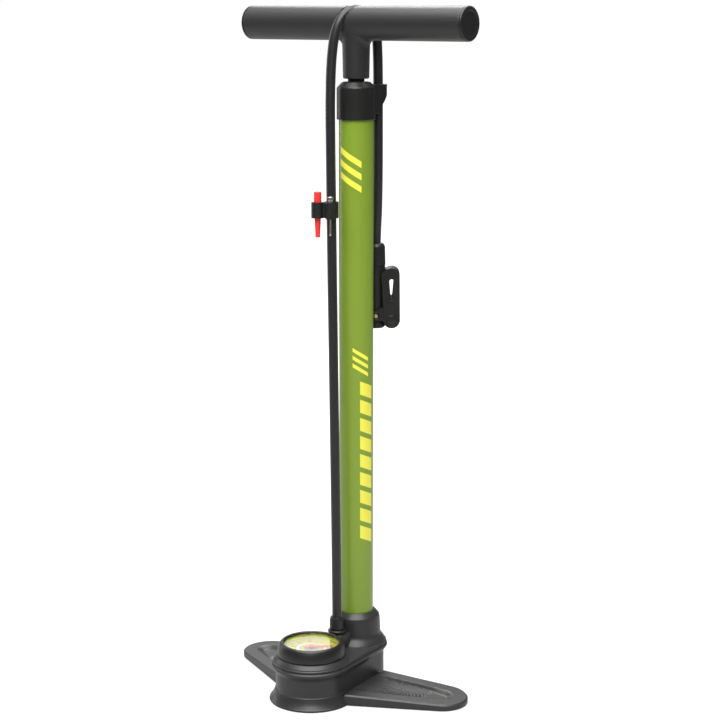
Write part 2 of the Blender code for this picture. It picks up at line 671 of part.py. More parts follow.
def make_foot_valve():
    """A plug in the barrel's lower end, the check ball that closes its port from below, and its spring."""
    disc_radius = BARREL_BORE - FIT
    stem_bottom = SOCKET_FLOOR - VALVE_STEM_LENGTH
    chamber = BALL_RADIUS + 0.9 * MM
    seat = SOCKET_FLOOR - 1 * MM
    profile = [
        (VALVE_PORT_RADIUS, VALVE_TOP),
        (disc_radius, VALVE_TOP),
        (disc_radius, BARREL_BOTTOM),
        (BARREL_BORE - 0.8 * MM - FIT, BARREL_BOTTOM - FIT),
        (BARREL_BORE - 0.8 * MM - FIT, SOCKET_FLOOR + FIT),
        (VALVE_STEM_RADIUS, SOCKET_FLOOR + FIT),
        (VALVE_STEM_RADIUS, stem_bottom),
        (chamber, stem_bottom),
        (chamber, seat - 1.5 * MM),
        (VALVE_PORT_RADIUS, seat),
    ]
    plug = turned("foot_valve_body", profile, BUSH_PLASTIC, closed=True)
    for side in (-1, 1):
        place = (side * SCREW_OFFSET, 0.0)
        floor, thread_top = SOCKET_FLOOR - 1 * MM, VALVE_TOP - 2 * MM
        bored(plug, f"screw_thread_{side}", SCREW_RADIUS + FIT, floor, thread_top, place, 12)
    # The ball touches the seat's cone where the cone is as far from the axis as the ball reaches.
    lean = math.atan2(1.5 * MM, chamber - VALVE_PORT_RADIUS)
    drop = (BALL_RADIUS + FIT) / math.cos(lean) - VALVE_PORT_RADIUS * math.tan(lean)
    ball_height = seat - drop
    data = bpy.data.meshes.new("check_ball")
    shape = bmesh.new()
    bmesh.ops.create_uvsphere(shape, u_segments=14, v_segments=8, radius=BALL_RADIUS)
    shape.to_mesh(data)
    shape.free()
    ball = placed("check_ball", data, STEEL, PUMP)
    ball.location = (0.0, 0.0, ball_height)
    smooth(ball)
    spring_top = ball_height - BALL_RADIUS - FIT - SPRING_WIRE
    spring_bottom = AIRWAY_HEIGHT - 2 * MM + FIT + SPRING_WIRE
    turns = np.linspace(0.0, 1.0, SPRING_TURNS * 10 + 1)
    coil_radius = 2.6 * MM
    points = [
        (
            coil_radius * math.cos(2 * math.pi * SPRING_TURNS * t),
            coil_radius * math.sin(2 * math.pi * SPRING_TURNS * t),
            spring_bottom + (spring_top - spring_bottom) * t,
        )
        for t in turns
    ]
    tube("check_spring", points, SPRING_WIRE, STEEL, sides=2)
    for name, side in (("base_screw_left", -1), ("base_screw_right", 1)):
        profile = [
            (0.0, VALVE_TOP - 2.6 * MM),
            (SCREW_RADIUS, VALVE_TOP - 2.6 * MM),
            (SCREW_RADIUS, SCREW_SEAT - FIT),
            (SCREW_HEAD_RADIUS, SCREW_SEAT - FIT),
            (SCREW_HEAD_RADIUS, SCREW_SEAT - FIT - SCREW_HEAD_HEIGHT),
            (0.0, SCREW_SEAT - FIT - SCREW_HEAD_HEIGHT),
        ]
        turned(name, profile, STEEL, at=(side * SCREW_OFFSET, 0.0), steps=16)


def make_top_cap():
    """The cap over the barrel's top, with an open hook at its back that the parked hose lies in."""
    profile = [
        (BUSH_NOSE_RADIUS + FIT, CAP_TOP),
        (CAP_RADIUS - CAP_CHAMFER - 0.4 * MM, CAP_TOP),
        (CAP_RADIUS, CAP_TOP - CAP_CHAMFER),
        (CAP_RADIUS, CAP_BOTTOM + 1 * MM),
        (CAP_RADIUS - 1 * MM, CAP_BOTTOM),
        (BARREL_RADIUS + FIT, CAP_BOTTOM),
        (BARREL_RADIUS + FIT, CEILING_BOTTOM),
        (BUSH_NOSE_RADIUS + FIT, CEILING_BOTTOM),
    ]
    cap = turned("top_cap", profile, BLACK_PLASTIC, closed=True, steps=30)
    hook_top = CAP_TOP - HOOK_TOP
    hook_bottom = hook_top - HOOK_HEIGHT
    inner = HOSE_RADIUS + 1.0 * MM
    outer = inner + HOOK_WALL
    away = math.atan2(HOOK_CENTRE[1], HOOK_CENTRE[0])
    reach = CAP_RADIUS - 1.2 * MM
    root_angle = away - math.radians(42)
    root = (reach * math.cos(root_angle), reach * math.sin(root_angle), 1.6 * MM)
    arm = plate(
        "hook_arm", [wrapped(root, (*HOOK_CENTRE, outer))], hook_bottom, hook_top, where=CUTTERS
    )
    bored(arm, "hook_bore", inner, hook_bottom - OVERCUT, hook_top + OVERCUT, HOOK_CENTRE, 28)
    opening = away + math.radians(38)
    gap_centre = Vector((*HOOK_CENTRE, (hook_top + hook_bottom) / 2)) + 10 * MM * Vector(
        (math.cos(opening), math.sin(opening), 0.0)
    )
    gap = block(
        "cut_hook_gap", (20 * MM, HOOK_GAP, HOOK_HEIGHT + 2 * OVERCUT), gap_centre, CUTTERS, (0.0, 0.0, opening)
    )
    # The hook's lower edge slopes up and out, away from the cap.
    outward = Vector((math.cos(away), math.sin(away), 0.0))
    slope = math.radians(52)
    low_edge = Vector((*HOOK_CENTRE, hook_top - HOOK_NOSE)) + outward * (outer - 1 * MM)
    tilt = Matrix.Rotation(away, 3, "Z") @ Matrix.Rotation(-slope, 3, "Y")
    size = 60 * MM
    wedge_centre = low_edge - tilt @ Vector((0.0, 0.0, size / 2))
    wedge = block("cut_hook_slope", (size * 2, size * 2, size), wedge_centre, CUTTERS, tilt.to_euler())
    bore_guard = disc(
        "cut_hook_inside", CAP_RADIUS - 1.5 * MM, hook_bottom - OVERCUT, hook_top + OVERCUT, where=CUTTERS
    )
    carved(arm, gap, wedge, bore_guard)
    return joined(cap, arm)


def make_bush():
    """The acetal bush that guides the rod, and the wiper above it."""
    inner = ROD_RADIUS + FIT
    flange_top = BUSH_FLANGE_BOTTOM + BUSH_FLANGE
    nose_top = flange_top + BUSH_NOSE
    profile = [
        (inner, nose_top),
        (BUSH_NOSE_RADIUS, nose_top),
        (BUSH_NOSE_RADIUS, flange_top),
        (BARREL_RADIUS - 0.2 * MM, flange_top),
        (BARREL_RADIUS - 0.2 * MM, BUSH_FLANGE_BOTTOM),
        (BUSH_RADIUS, BUSH_FLANGE_BOTTOM),
        (BUSH_RADIUS, BUSH_FLANGE_BOTTOM - BUSH_LENGTH),
        (inner, BUSH_FLANGE_BOTTOM - BUSH_LENGTH),
    ]
    turned("guide_bush", profile, BUSH_PLASTIC, closed=True, steps=24)
    ring(
        "cap_wiper",
        BUSH_NOSE_RADIUS,
        inner,
        nose_top + FIT,
        nose_top + FIT + WIPER_HEIGHT - 2 * FIT,
        SEAL_RUBBER,
        steps=24,
    )


# --- Rod, piston and handle -------------------------------------------------------------------------------------


def make_rod():
    profile = [
        (BOLT_RADIUS + FIT, ROD_TOP),
        (ROD_RADIUS, ROD_TOP),
        (ROD_RADIUS, PISTON_TOP + FIT),
        (ROD_STUD_RADIUS, PISTON_TOP + FIT),
        (ROD_STUD_RADIUS, PISTON_NUT_BOTTOM + 0.3 * MM),
        (0.0, PISTON_NUT_BOTTOM + 0.3 * MM),
        (0.0, ROD_TOP - BOLT_LENGTH),
        (BOLT_RADIUS + FIT, ROD_TOP - BOLT_LENGTH),
    ]
    turned("piston_rod", profile, STEEL, closed=True, steps=24)
    ring(
        "rod_bumper",
        BUMPER_RADIUS,
        ROD_RADIUS + FIT,
        CAP_TOP + FIT,
        CAP_TOP + FIT + BUMPER_HEIGHT,
        SEAL_RUBBER,
        edge=0.4 * MM,
        steps=24,
    )


def make_piston():
    outer = BARREL_BORE - FIT
    inner = ROD_STUD_RADIUS + FIT
    middle = (PISTON_TOP + PISTON_BOTTOM) / 2
    groove = outer - SEAL_DEPTH
    half = SEAL_WIDTH / 2 + FIT
    profile = [
        (inner, PISTON_TOP),
        (outer, PISTON_TOP),
        (outer, middle + half),
        (groove, middle + half),
        (groove, middle - half),
        (outer, middle - half),
        (outer, PISTON_BOTTOM),
        (inner, PISTON_BOTTOM),
    ]
    turned("piston", profile, BUSH_PLASTIC, closed=True)
    round_seal = [
        (groove + FIT, middle + SEAL_WIDTH / 2),
        (BARREL_BORE - 0.5 * MM, middle + SEAL_WIDTH / 2),
        (BARREL_BORE - 0.15 * MM, middle + SEAL_WIDTH / 4),
        (BARREL_BORE - 0.15 * MM, middle - SEAL_WIDTH / 4),
        (BARREL_BORE - 0.5 * MM, middle - SEAL_WIDTH / 2),
        (groove + FIT, middle - SEAL_WIDTH / 2),
    ]
    turned("piston_seal", round_seal, SEAL_RUBBER, closed=True)
    nut = disc(
        "piston_nut",
        PISTON_NUT_RADIUS,
        PISTON_NUT_BOTTOM,
        PISTON_NUT_BOTTOM + PISTON_NUT_HEIGHT,
        STEEL,
        segments=6,
    )
    low, high = PISTON_NUT_BOTTOM - OVERCUT, PISTON_BOTTOM + OVERCUT
    bored(nut, "piston_nut", ROD_STUD_RADIUS + FIT, low, high, segments=24)


def make_handle(route):
    """The T handle: a hollow bar, its neck over the rod, and a groove across it for the parked hose."""
    half = HANDLE_LENGTH / 2 - END_CAP_THICKNESS - FIT
    bar = rod(
        "handle_bar", HANDLE_RADIUS, (-half, 0, HANDLE_AXIS), (half, 0, HANDLE_AXIS), GRIP_RUBBER, segments=30
    )
    neck_profile = [
        (0.0, HANDLE_AXIS - 0.3 * HANDLE_RADIUS),
        (NECK_TOP_RADIUS + NECK_FLARE, HANDLE_AXIS - 0.6 * HANDLE_RADIUS),
        (NECK_TOP_RADIUS + NECK_FLARE * 0.5, HANDLE_AXIS - 1.0 * HANDLE_RADIUS),
        (NECK_TOP_RADIUS, HANDLE_AXIS - 1.4 * HANDLE_RADIUS),
        (NECK_BOTTOM_RADIUS, NECK_BOTTOM + NECK_EDGE),
        (NECK_BOTTOM_RADIUS - NECK_EDGE, NECK_BOTTOM),
        (0.0, NECK_BOTTOM),
    ]
    joined(bar, turned("handle_neck", neck_profile, where=CUTTERS, steps=24))
    for side in (-1, 1):
        start = (side * HANDLE_WEB, 0.0, HANDLE_AXIS)
        end = (side * (half + OVERCUT), 0.0, HANDLE_AXIS)
        carved(bar, rod(f"cut_handle_bore_{side}", HANDLE_BORE, start, end, None, CUTTERS, 24))
    bored(bar, "rod_socket", ROD_RADIUS + FIT, NECK_BOTTOM - OVERCUT, ROD_TOP + FIT)
    crest = HANDLE_AXIS + HOSE_REST - HOSE_RADIUS - GROOVE_FIT
    head_seat = crest - 1.2 * MM - BOLT_HEAD_HEIGHT
    bored(bar, "bolt_hole", BOLT_RADIUS + FIT, ROD_TOP - 1 * MM, head_seat + 1 * MM, segments=24)
    bar_top = HANDLE_AXIS + HANDLE_RADIUS + OVERCUT
    bored(bar, "bolt_head", BOLT_HEAD_RADIUS + FIT, head_seat, bar_top, segments=24)
    over = [point for point in route if point[2] > HANDLE_AXIS - 1.1 * HANDLE_RADIUS]
    groove = as_mesh(tube("cut_hose_groove", over, HOSE_RADIUS + GROOVE_FIT, where=CUTTERS, sides=3))
    carved(bar, groove)
    bolt_profile = [
        (0.0, head_seat + FIT + BOLT_HEAD_HEIGHT),
        (BOLT_HEAD_RADIUS, head_seat + FIT + BOLT_HEAD_HEIGHT),
        (BOLT_HEAD_RADIUS, head_seat + FIT),
        (BOLT_RADIUS, head_seat + FIT),
        (BOLT_RADIUS, ROD_TOP - BOLT_LENGTH + 1 * MM),
        (0.0, ROD_TOP - BOLT_LENGTH + 1 * MM),
    ]
    turned("handle_bolt", bolt_profile, STEEL, steps=24)
    for name, side in (("handle_end_cap_left", -1), ("handle_end_cap_right", 1)):
        make_end_cap(name, side, half)


def make_end_cap(name, side, half):
    """A disc that closes one end of the handle, with a plug that sits in the bar's bore."""
    face = half + FIT + END_CAP_THICKNESS
    profile = [
        (0.0, face),
        (HANDLE_RADIUS - 1.2 * MM, face),
        (HANDLE_RADIUS, face - 1.0 * MM),
        (HANDLE_RADIUS, half + FIT),
        (HANDLE_BORE - FIT, half + FIT),
        (HANDLE_BORE - FIT, half - END_CAP_PLUG),
        (0.0, half - END_CAP_PLUG),
    ]
    cap = turned(name, profile, BLACK_PLASTIC, steps=32)
    cap.location = (0.0, 0.0, HANDLE_AXIS)
    cap.rotation_euler = (0.0, side * math.pi / 2, 0.0)


# --- Gauge ------------------------------------------------------------------------------------------------------


def make_gauge():
    outer = bezel_profile()
    lip = LENS_TOP + FIT
    profile = [(BEZEL_OPENING + 0.6 * MM, BEZEL_TOP), *outer]
    profile += [
        (BEZEL_BORE, BEZEL_BOTTOM),
        (BEZEL_BORE, lip),
        (BEZEL_OPENING, lip),
        (BEZEL_OPENING, BEZEL_TOP - 0.6 * MM),
    ]
    turned("gauge_bezel", profile, BLACK_PLASTIC, at=GAUGE_PLACE, closed=True, steps=32)
    lens_radius = BEZEL_BORE - FIT
    lens_bottom = LENS_TOP - LENS_THICKNESS
    disc("gauge_lens", lens_radius, lens_bottom, LENS_TOP, CLEAR_PLASTIC, at=GAUGE_PLACE, segments=30)
    ring(
        "dial_ring",
        lens_radius,
        lens_radius - DIAL_RING_WIDTH,
        DIAL_RING_TOP - DIAL_RING_HEIGHT,
        DIAL_RING_TOP,
        LIME_PLASTIC,
        at=GAUGE_PLACE,
    )
    ring(
        "gauge_dial",
        lens_radius,
        SPINDLE_RADIUS + FIT,
        DIAL_TOP - DIAL_THICKNESS,
        DIAL_TOP,
        DIAL_PAPER,
        at=GAUGE_PLACE,
    )
    make_gauge_can()
    make_movement()
    make_needle()


def make_gauge_can():
    """The pressed can that holds the movement, open at its top, with the inlet stem below."""
    bottom = CAN_FLOOR + FIT
    profile = [
        (CAN_RADIUS - CAN_WALL, CAN_TOP),
        (CAN_RADIUS + 2 * MM, CAN_TOP),
        (CAN_RADIUS + 2 * MM, CAN_TOP - CAN_WALL),
        (CAN_RADIUS, CAN_TOP - CAN_WALL),
        (CAN_RADIUS, bottom),
        (CAN_STEM_RADIUS, bottom),
        (CAN_STEM_RADIUS, AIRWAY_HEIGHT + 3 * MM),
        (0.0, AIRWAY_HEIGHT + 3 * MM),
        (0.0, bottom + CAN_WALL),
        (CAN_RADIUS - CAN_WALL, bottom + CAN_WALL),
    ]
    turned("gauge_can", profile, BRASS, at=GAUGE_PLACE, closed=True)


def make_movement():
    """The gear block with its spindle, and the curved Bourdon tube that drives it."""
    bottom = CAN_FLOOR + CAN_WALL + 2 * FIT
    height = CAN_TOP - 6 * MM - bottom
    frame = block(
        "gauge_movement",
        (20 * MM, 14 * MM, height),
        (GAUGE_PLACE[0], GAUGE_PLACE[1], bottom + height / 2),
        finish=BRASS,
    )
    spindle_top = DIAL_TOP + 0.6 * MM
    root = bottom + 2 * MM
    spindle = disc("movement_spindle", SPINDLE_RADIUS, root, spindle_top, None, CUTTERS, GAUGE_PLACE, 12)
    joined(frame, spindle)
    level = bottom + 10 * MM
    turns = np.linspace(math.radians(-60), math.radians(200), 26)
    points = [
        (GAUGE_PLACE[0] + BOURDON_RADIUS * math.cos(a), GAUGE_PLACE[1] + BOURDON_RADIUS * math.sin(a), level)
        for a in turns
    ]
    tube("bourdon_tube", points, BOURDON_TUBE, BRASS, sides=2)


def make_needle():
    """The pointer, which turns about the gauge's axis, its blade on the dial's zero."""
    pivot = bpy.data.objects.new("gauge_needle_axis", None)
    PUMP.objects.link(pivot)
    bottom = DIAL_TOP + 0.6 * MM + FIT
    pivot.location = (*GAUGE_PLACE, bottom)
    pivot.rotation_euler = (0.0, 0.0, NEEDLE_ZERO)
    outline = [
        (-NEEDLE_TAIL, -NEEDLE_WIDTH),
        (NEEDLE_LENGTH - 3 * MM, -NEEDLE_WIDTH * 0.5),
        (NEEDLE_LENGTH, 0.0),
        (NEEDLE_LENGTH - 3 * MM, NEEDLE_WIDTH * 0.5),
        (-NEEDLE_TAIL, NEEDLE_WIDTH),
    ]
    needle = plate("gauge_needle", [outline], 0.4 * MM, 0.4 * MM + NEEDLE_THICKNESS, RED_PLASTIC)
    hub = disc("needle_hub", NEEDLE_HUB_RADIUS, 0.0, NEEDLE_HUB_HEIGHT, where=CUTTERS, segments=20)
    for piece in (needle, hub):
        piece.parent = pivot
    joined(needle, hub)


# --- Hose, fitting, clip and adapters ---------------------------------------------------------------------------


def make_fitting():
    """The nipple screwed into the foot's boss, its washer, and the nut that holds the hose."""
    washer_top = NIPPLE_BOTTOM + WASHER_THICKNESS
    ring(
        "hose_washer",
        NIPPLE_FLANGE_RADIUS - 1.6 * MM,
        NIPPLE_STEM_RADIUS + FIT,
        NIPPLE_BOTTOM,
        washer_top,
        SEAL_RUBBER,
        at=FITTING_PLACE,
        steps=24,
    )
    flange_bottom = washer_top + FIT
    flange_top = flange_bottom + NIPPLE_FLANGE_HEIGHT
    stem_bottom = AIRWAY_HEIGHT + 4 * MM
    profile = [
        (1.4 * MM, flange_top),
        (NIPPLE_FLANGE_RADIUS - 0.8 * MM, flange_top),
        (NIPPLE_FLANGE_RADIUS, flange_top - 0.9 * MM),
        (NIPPLE_FLANGE_RADIUS, flange_bottom + 0.7 * MM),
        (NIPPLE_FLANGE_RADIUS - 0.7 * MM, flange_bottom),
        (NIPPLE_STEM_RADIUS, flange_bottom),
        (NIPPLE_STEM_RADIUS, stem_bottom),
        (1.4 * MM, stem_bottom),
    ]
    turned("hose_nipple", profile, BLACK_PLASTIC, at=FITTING_PLACE, closed=True, steps=24)
    top = NUT_BOTTOM + NUT_HEIGHT
    bore = HOSE_RADIUS + HOSE_FIT
    profile = [
        (bore, top),
        (NUT_RADIUS - 1.3 * MM, top),
        (NUT_RADIUS - 0.3 * MM, top - 1.0 * MM),
        (NUT_RADIUS, NUT_BOTTOM),
        (bore, NUT_BOTTOM),
    ]
    turned("hose_nut", profile, BLACK_PLASTIC, at=FITTING_PLACE, closed=True, steps=24)


def make_clip():
    """The moulded clip: a split ring on the hose, a pocket for the ball needle and a ring for the cone."""
    top = CLIP_BOTTOM + CLIP_HEIGHT
    hose_bore = HOSE_RADIUS + HOSE_FIT
    needle_bore = NEEDLE_COLLAR_RADIUS + FIT
    cone_bore = CONE_TOP_RADIUS + FIT
    clip = disc("hose_clip", hose_bore + CLIP_WALL, CLIP_BOTTOM, top, BLACK_PLASTIC, at=CLIP_HOSE, segments=32)
    pocket = disc(
        "clip_pocket",
        needle_bore + 1.3 * MM,
        CLIP_BOTTOM - 0.3 * MM,
        top - 0.3 * MM,
        where=CUTTERS,
        at=NEEDLE_PLACE,
    )
    cone_ring = disc(
        "clip_cone_ring",
        cone_bore + CONE_WALL,
        CLIP_BOTTOM + 0.2 * MM,
        top - 0.2 * MM,
        where=CUTTERS,
        at=CONE_PLACE,
    )
    bridge = plate(
        "clip_bridge",
        [wrapped((*CLIP_HOSE, 5.0 * MM), (*CONE_PLACE, 4.0 * MM), 10)],
        CLIP_BOTTOM + 0.6 * MM,
        top - 0.6 * MM,
        where=CUTTERS,
    )
    joined(clip, pocket, cone_ring, bridge)
    bored(clip, "clip_hose", hose_bore, CLIP_BOTTOM - OVERCUT, top + OVERCUT, CLIP_HOSE, 24)
    bored(clip, "clip_needle", needle_bore, CLIP_BOTTOM - OVERCUT, top + OVERCUT, NEEDLE_PLACE, 20)
    bored(clip, "clip_cone", cone_bore, CLIP_BOTTOM - OVERCUT, top + OVERCUT, CONE_PLACE, 24)
    slit_turn = math.radians(118)
    middle = Vector((*CLIP_HOSE, CLIP_BOTTOM + CLIP_HEIGHT / 2))
    reach = 8 * MM * Vector((math.cos(slit_turn), math.sin(slit_turn), 0.0))
    size = (12 * MM, CLIP_SLIT, CLIP_HEIGHT + 2 * OVERCUT)
    carved(clip, block("cut_clip_slit", size, middle + reach, CUTTERS, (0.0, 0.0, slit_turn)))


def make_adapters():
    """The cone and the ball needle, each standing in its place in the clip."""
    bore = 1.2 * MM
    cone_profile = [
        (bore, CONE_TOP),
        (CONE_TOP_RADIUS - 0.5 * MM, CONE_TOP),
        (CONE_TOP_RADIUS, CONE_TOP - 0.6 * MM),
        (CONE_TOP_RADIUS, CLIP_BOTTOM + 0.9 * CLIP_HEIGHT),
        (CONE_TIP_RADIUS, CONE_TIP + 0.5 * MM),
        (CONE_TIP_RADIUS - 0.3 * MM, CONE_TIP),
        (bore, CONE_TIP),
    ]
    turned("cone_adapter", cone_profile, RED_PLASTIC, at=CONE_PLACE, closed=True, steps=20)
    top = BALL_NEEDLE_TOP
    needle_profile = [
        (0.0, top),
        (NEEDLE_COLLAR_RADIUS - 0.5 * MM, top),
        (NEEDLE_COLLAR_RADIUS, top - 0.6 * MM),
        (NEEDLE_COLLAR_RADIUS, top - 9.0 * MM),
        (2.2 * MM, top - 9.8 * MM),
        (2.2 * MM, top - 15.0 * MM),
        (0.95 * MM, top - 17.5 * MM),
        (0.95 * MM, BALL_NEEDLE_TIP + 1.0 * MM),
        (0.5 * MM, BALL_NEEDLE_TIP),
        (0.0, BALL_NEEDLE_TIP),
    ]
    turned("ball_needle", needle_profile, STEEL, at=NEEDLE_PLACE, steps=20)


# --- Valve head -------------------------------------------------------------------------------------------------


def make_head():
    """The valve head: ferrule, body, gasket and nose, turned about one upright axis, and the lever's pin."""
    bore = HOSE_RADIUS + HOSE_FIT
    ferrule_profile = [
        (bore, FERRULE_TOP),
        (bore + 0.9 * MM, FERRULE_TOP),
        (FERRULE_RADIUS - 0.6 * MM, FERRULE_TOP - 3.4 * MM),
        (FERRULE_RADIUS, FERRULE_BOTTOM),
        (bore, FERRULE_BOTTOM),
    ]
    turned("hose_ferrule", ferrule_profile, BLACK_PLASTIC, at=HEAD_PLACE, closed=True, steps=24)
    body_top = FERRULE_BOTTOM - FIT
    gasket_space = HEAD_GASKET_RADIUS + FIT
    body_profile = [
        (1.5 * MM, body_top),
        (HEAD_RADIUS - 0.5 * MM, body_top),
        (HEAD_RADIUS, body_top - 6 * MM),
        (HEAD_RADIUS, LEVER_PIN_HEIGHT - 1 * MM),
        (HEAD_RADIUS - 0.5 * MM, HEAD_BOTTOM),
        (gasket_space, HEAD_BOTTOM),
        (gasket_space, HEAD_GASKET_TOP + FIT),
        (1.5 * MM, HEAD_GASKET_TOP + FIT),
    ]
    body = turned("head_body", body_profile, BLACK_PLASTIC, at=HEAD_PLACE, closed=True, steps=24)
    nose_top = HEAD_BOTTOM - FIT
    nose_profile = [
        (gasket_space, nose_top),
        (NOSE_RADIUS, nose_top),
        (NOSE_RADIUS, NOSE_BOTTOM + 1.6 * MM),
        (NOSE_RADIUS - 1.6 * MM, NOSE_BOTTOM),
        (VALVE_MOUTH_RADIUS, NOSE_BOTTOM),
        (VALVE_MOUTH_RADIUS, NOSE_BOTTOM + 1.8 * MM),
        (gasket_space, NOSE_BOTTOM + 1.8 * MM),
    ]
    turned("head_nose_cap", nose_profile, BLACK_PLASTIC, at=HEAD_PLACE, closed=True, steps=24)
    ring(
        "head_gasket",
        HEAD_GASKET_RADIUS,
        HEAD_GASKET_BORE,
        NOSE_BOTTOM + 1.8 * MM + FIT,
        HEAD_GASKET_TOP,
        SEAL_RUBBER,
        at=HEAD_PLACE,
        steps=24,
    )
    across = Vector((math.sin(HEAD_TURN), -math.cos(HEAD_TURN), 0.0))
    pin_middle = Vector((*HEAD_PLACE, LEVER_PIN_HEIGHT))
    reach = across * (LEVER_HALF_WIDTH + 0.5 * MM)
    hole_reach = across * (HEAD_RADIUS + OVERCUT)
    hole = rod(
        "cut_pin_hole", LEVER_PIN_RADIUS + FIT, pin_middle - hole_reach, pin_middle + hole_reach, None, CUTTERS, 20
    )
    carved(body, hole)
    rod("lever_pin", LEVER_PIN_RADIUS, pin_middle - reach, pin_middle + reach, BRASS, segments=20)


def make_lever():
    """The thumb lever, drawn in its own plane about its pin: x out from the head, y up, z towards the front."""
    pivot = bpy.data.objects.new("head_lever_axis", None)
    PUMP.objects.link(pivot)
    pivot.location = (*HEAD_PLACE, LEVER_PIN_HEIGHT)
    pivot.rotation_euler = (math.pi / 2, 0.0, HEAD_TURN)
    half = LEVER_HALF_WIDTH
    lever = plate("head_lever", [wrapped(LEVER_KNUCKLE, LEVER_THUMB, 14)], -half, half, BLACK_PLASTIC)
    boss_outline = wrapped((0.0, 0.0, LEVER_BOSS_RADIUS), (LEVER_KNUCKLE[0] - 1 * MM, 4.0 * MM, 8.0 * MM), 12)
    boss = plate("lever_cheeks", [boss_outline], -half + 0.2 * MM, half - 0.2 * MM, where=CUTTERS)
    inside = half - LEVER_CHEEK
    swing = math.hypot(NOSE_RADIUS, LEVER_PIN_HEIGHT - NOSE_BOTTOM) + 2 * FIT
    swing_space = disc("cut_lever_swing", swing, -inside, inside, where=CUTTERS, segments=32)
    body_space = rod(
        "cut_lever_body", HEAD_RADIUS + 2 * FIT, (0, -30 * MM, 0), (0, 60 * MM, 0), None, CUTTERS, 32
    )
    slot_x, slot_y = LEVER_SLOT
    straight = (LEVER_SLOT_LENGTH - LEVER_SLOT_WIDTH) / 2
    slot_outline = wrapped(
        (slot_x, slot_y - straight, LEVER_SLOT_WIDTH / 2),
        (slot_x, slot_y + straight, LEVER_SLOT_WIDTH / 2 - 1e-6),
        8,
    )
    slot = plate("cut_lever_slot", [slot_outline], -half - OVERCUT, half + OVERCUT, where=CUTTERS)
    pin_radius = LEVER_PIN_RADIUS + FIT
    pin_hole = disc("cut_lever_pin", pin_radius, -half - OVERCUT, half + OVERCUT, where=CUTTERS, segments=20)
    for piece in (lever, boss, swing_space, body_space, slot, pin_hole):
        piece.parent = pivot
    joined(lever, boss)
    carved(lever, swing_space, body_space, slot, pin_hole)


def main():
    """Makes every piece of the pump."""
    route = smooth_route(HOSE_ROUTE, HOSE_POINTS)
    make_foot()
    make_pads()
    make_barrel()
    make_foot_valve()
    make_top_cap()
    make_bush()
    make_rod()
    make_piston()
    make_handle(route)
    make_gauge()
    make_fitting()
    tube("hose", route, HOSE_RADIUS, HOSE_RUBBER, sides=2)
    make_clip()
    make_adapters()
    make_head()
    make_lever()


main()
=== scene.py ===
"""Looks for a floor bike pump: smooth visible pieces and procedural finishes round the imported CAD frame.

Laid out as a Blender add-on with one operator per piece or group of like pieces, and run here as a script.
Lengths are in metres. +Z runs up the barrel, the gauge stands at -Y, the wings and the handle lie along X.
"""

import math

import bmesh
import bpy
import numpy as np
from mathutils import Matrix, Vector


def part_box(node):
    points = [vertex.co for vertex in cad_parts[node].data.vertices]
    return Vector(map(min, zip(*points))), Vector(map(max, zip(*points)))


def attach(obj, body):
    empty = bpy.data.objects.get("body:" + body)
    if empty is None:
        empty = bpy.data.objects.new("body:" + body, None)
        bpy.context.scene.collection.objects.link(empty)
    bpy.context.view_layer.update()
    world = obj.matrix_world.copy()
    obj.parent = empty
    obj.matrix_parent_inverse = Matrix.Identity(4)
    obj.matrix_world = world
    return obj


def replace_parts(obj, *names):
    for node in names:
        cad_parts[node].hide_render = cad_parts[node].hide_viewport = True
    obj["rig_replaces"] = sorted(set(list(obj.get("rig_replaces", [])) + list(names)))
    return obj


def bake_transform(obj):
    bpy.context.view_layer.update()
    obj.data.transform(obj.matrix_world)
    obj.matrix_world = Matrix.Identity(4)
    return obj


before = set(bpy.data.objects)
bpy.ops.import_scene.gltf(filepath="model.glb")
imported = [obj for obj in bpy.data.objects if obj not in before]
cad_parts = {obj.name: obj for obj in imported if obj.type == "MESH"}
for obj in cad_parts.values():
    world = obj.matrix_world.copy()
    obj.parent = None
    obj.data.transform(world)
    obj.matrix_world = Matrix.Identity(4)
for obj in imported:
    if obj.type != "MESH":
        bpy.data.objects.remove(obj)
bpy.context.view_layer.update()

bl_info = {
    "name": "Floor Bike Pump",
    "version": (1, 0, 0),
    "blender": (4, 5, 0),
    "location": "View3D > Sidebar > Floor Pump",
    "description": "Builds the looks of a floor bike pump round its CAD frame",
    "category": "Object",
}

MM = 0.001


def middle_of(name):
    """The middle of a CAD node's box."""
    low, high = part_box(name)
    return (low + high) / 2


# Places and sizes that several pieces share, from the frame where it has them
BARREL_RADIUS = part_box("barrel_tube")[1].x
CAP_BOTTOM, CAP_TOP = (corner.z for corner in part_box("top_cap"))
GAUGE_PLACE = tuple(middle_of("gauge_bezel")[:2])
FITTING_PLACE = tuple(middle_of("hose_nipple")[:2])
HEAD_PLACE = tuple(middle_of("hose_ferrule")[:2])
PIN_HEIGHT = middle_of("lever_pin").z
HANDLE_AXIS = middle_of("handle_end_cap_left").z
HANDLE_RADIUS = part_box("handle_end_cap_left")[1].z - HANDLE_AXIS
FLOOR_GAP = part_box("base_casting")[0].z

# The foot's two rounds in plan: x, y and radius of the gauge's pot and of the barrel's block
POT = (*GAUGE_PLACE, 36.6 * MM)
BLOCK = (0.0, 0.0, 28.8 * MM)

HOSE_RADIUS = 4.9 * MM
HEAD_TURN = math.radians(36.5)
NEEDLE_ZERO = math.radians(42.0)
DIAL_SWEEP = math.radians(270.0)
SMOOTH_ANGLE = math.radians(34.0)

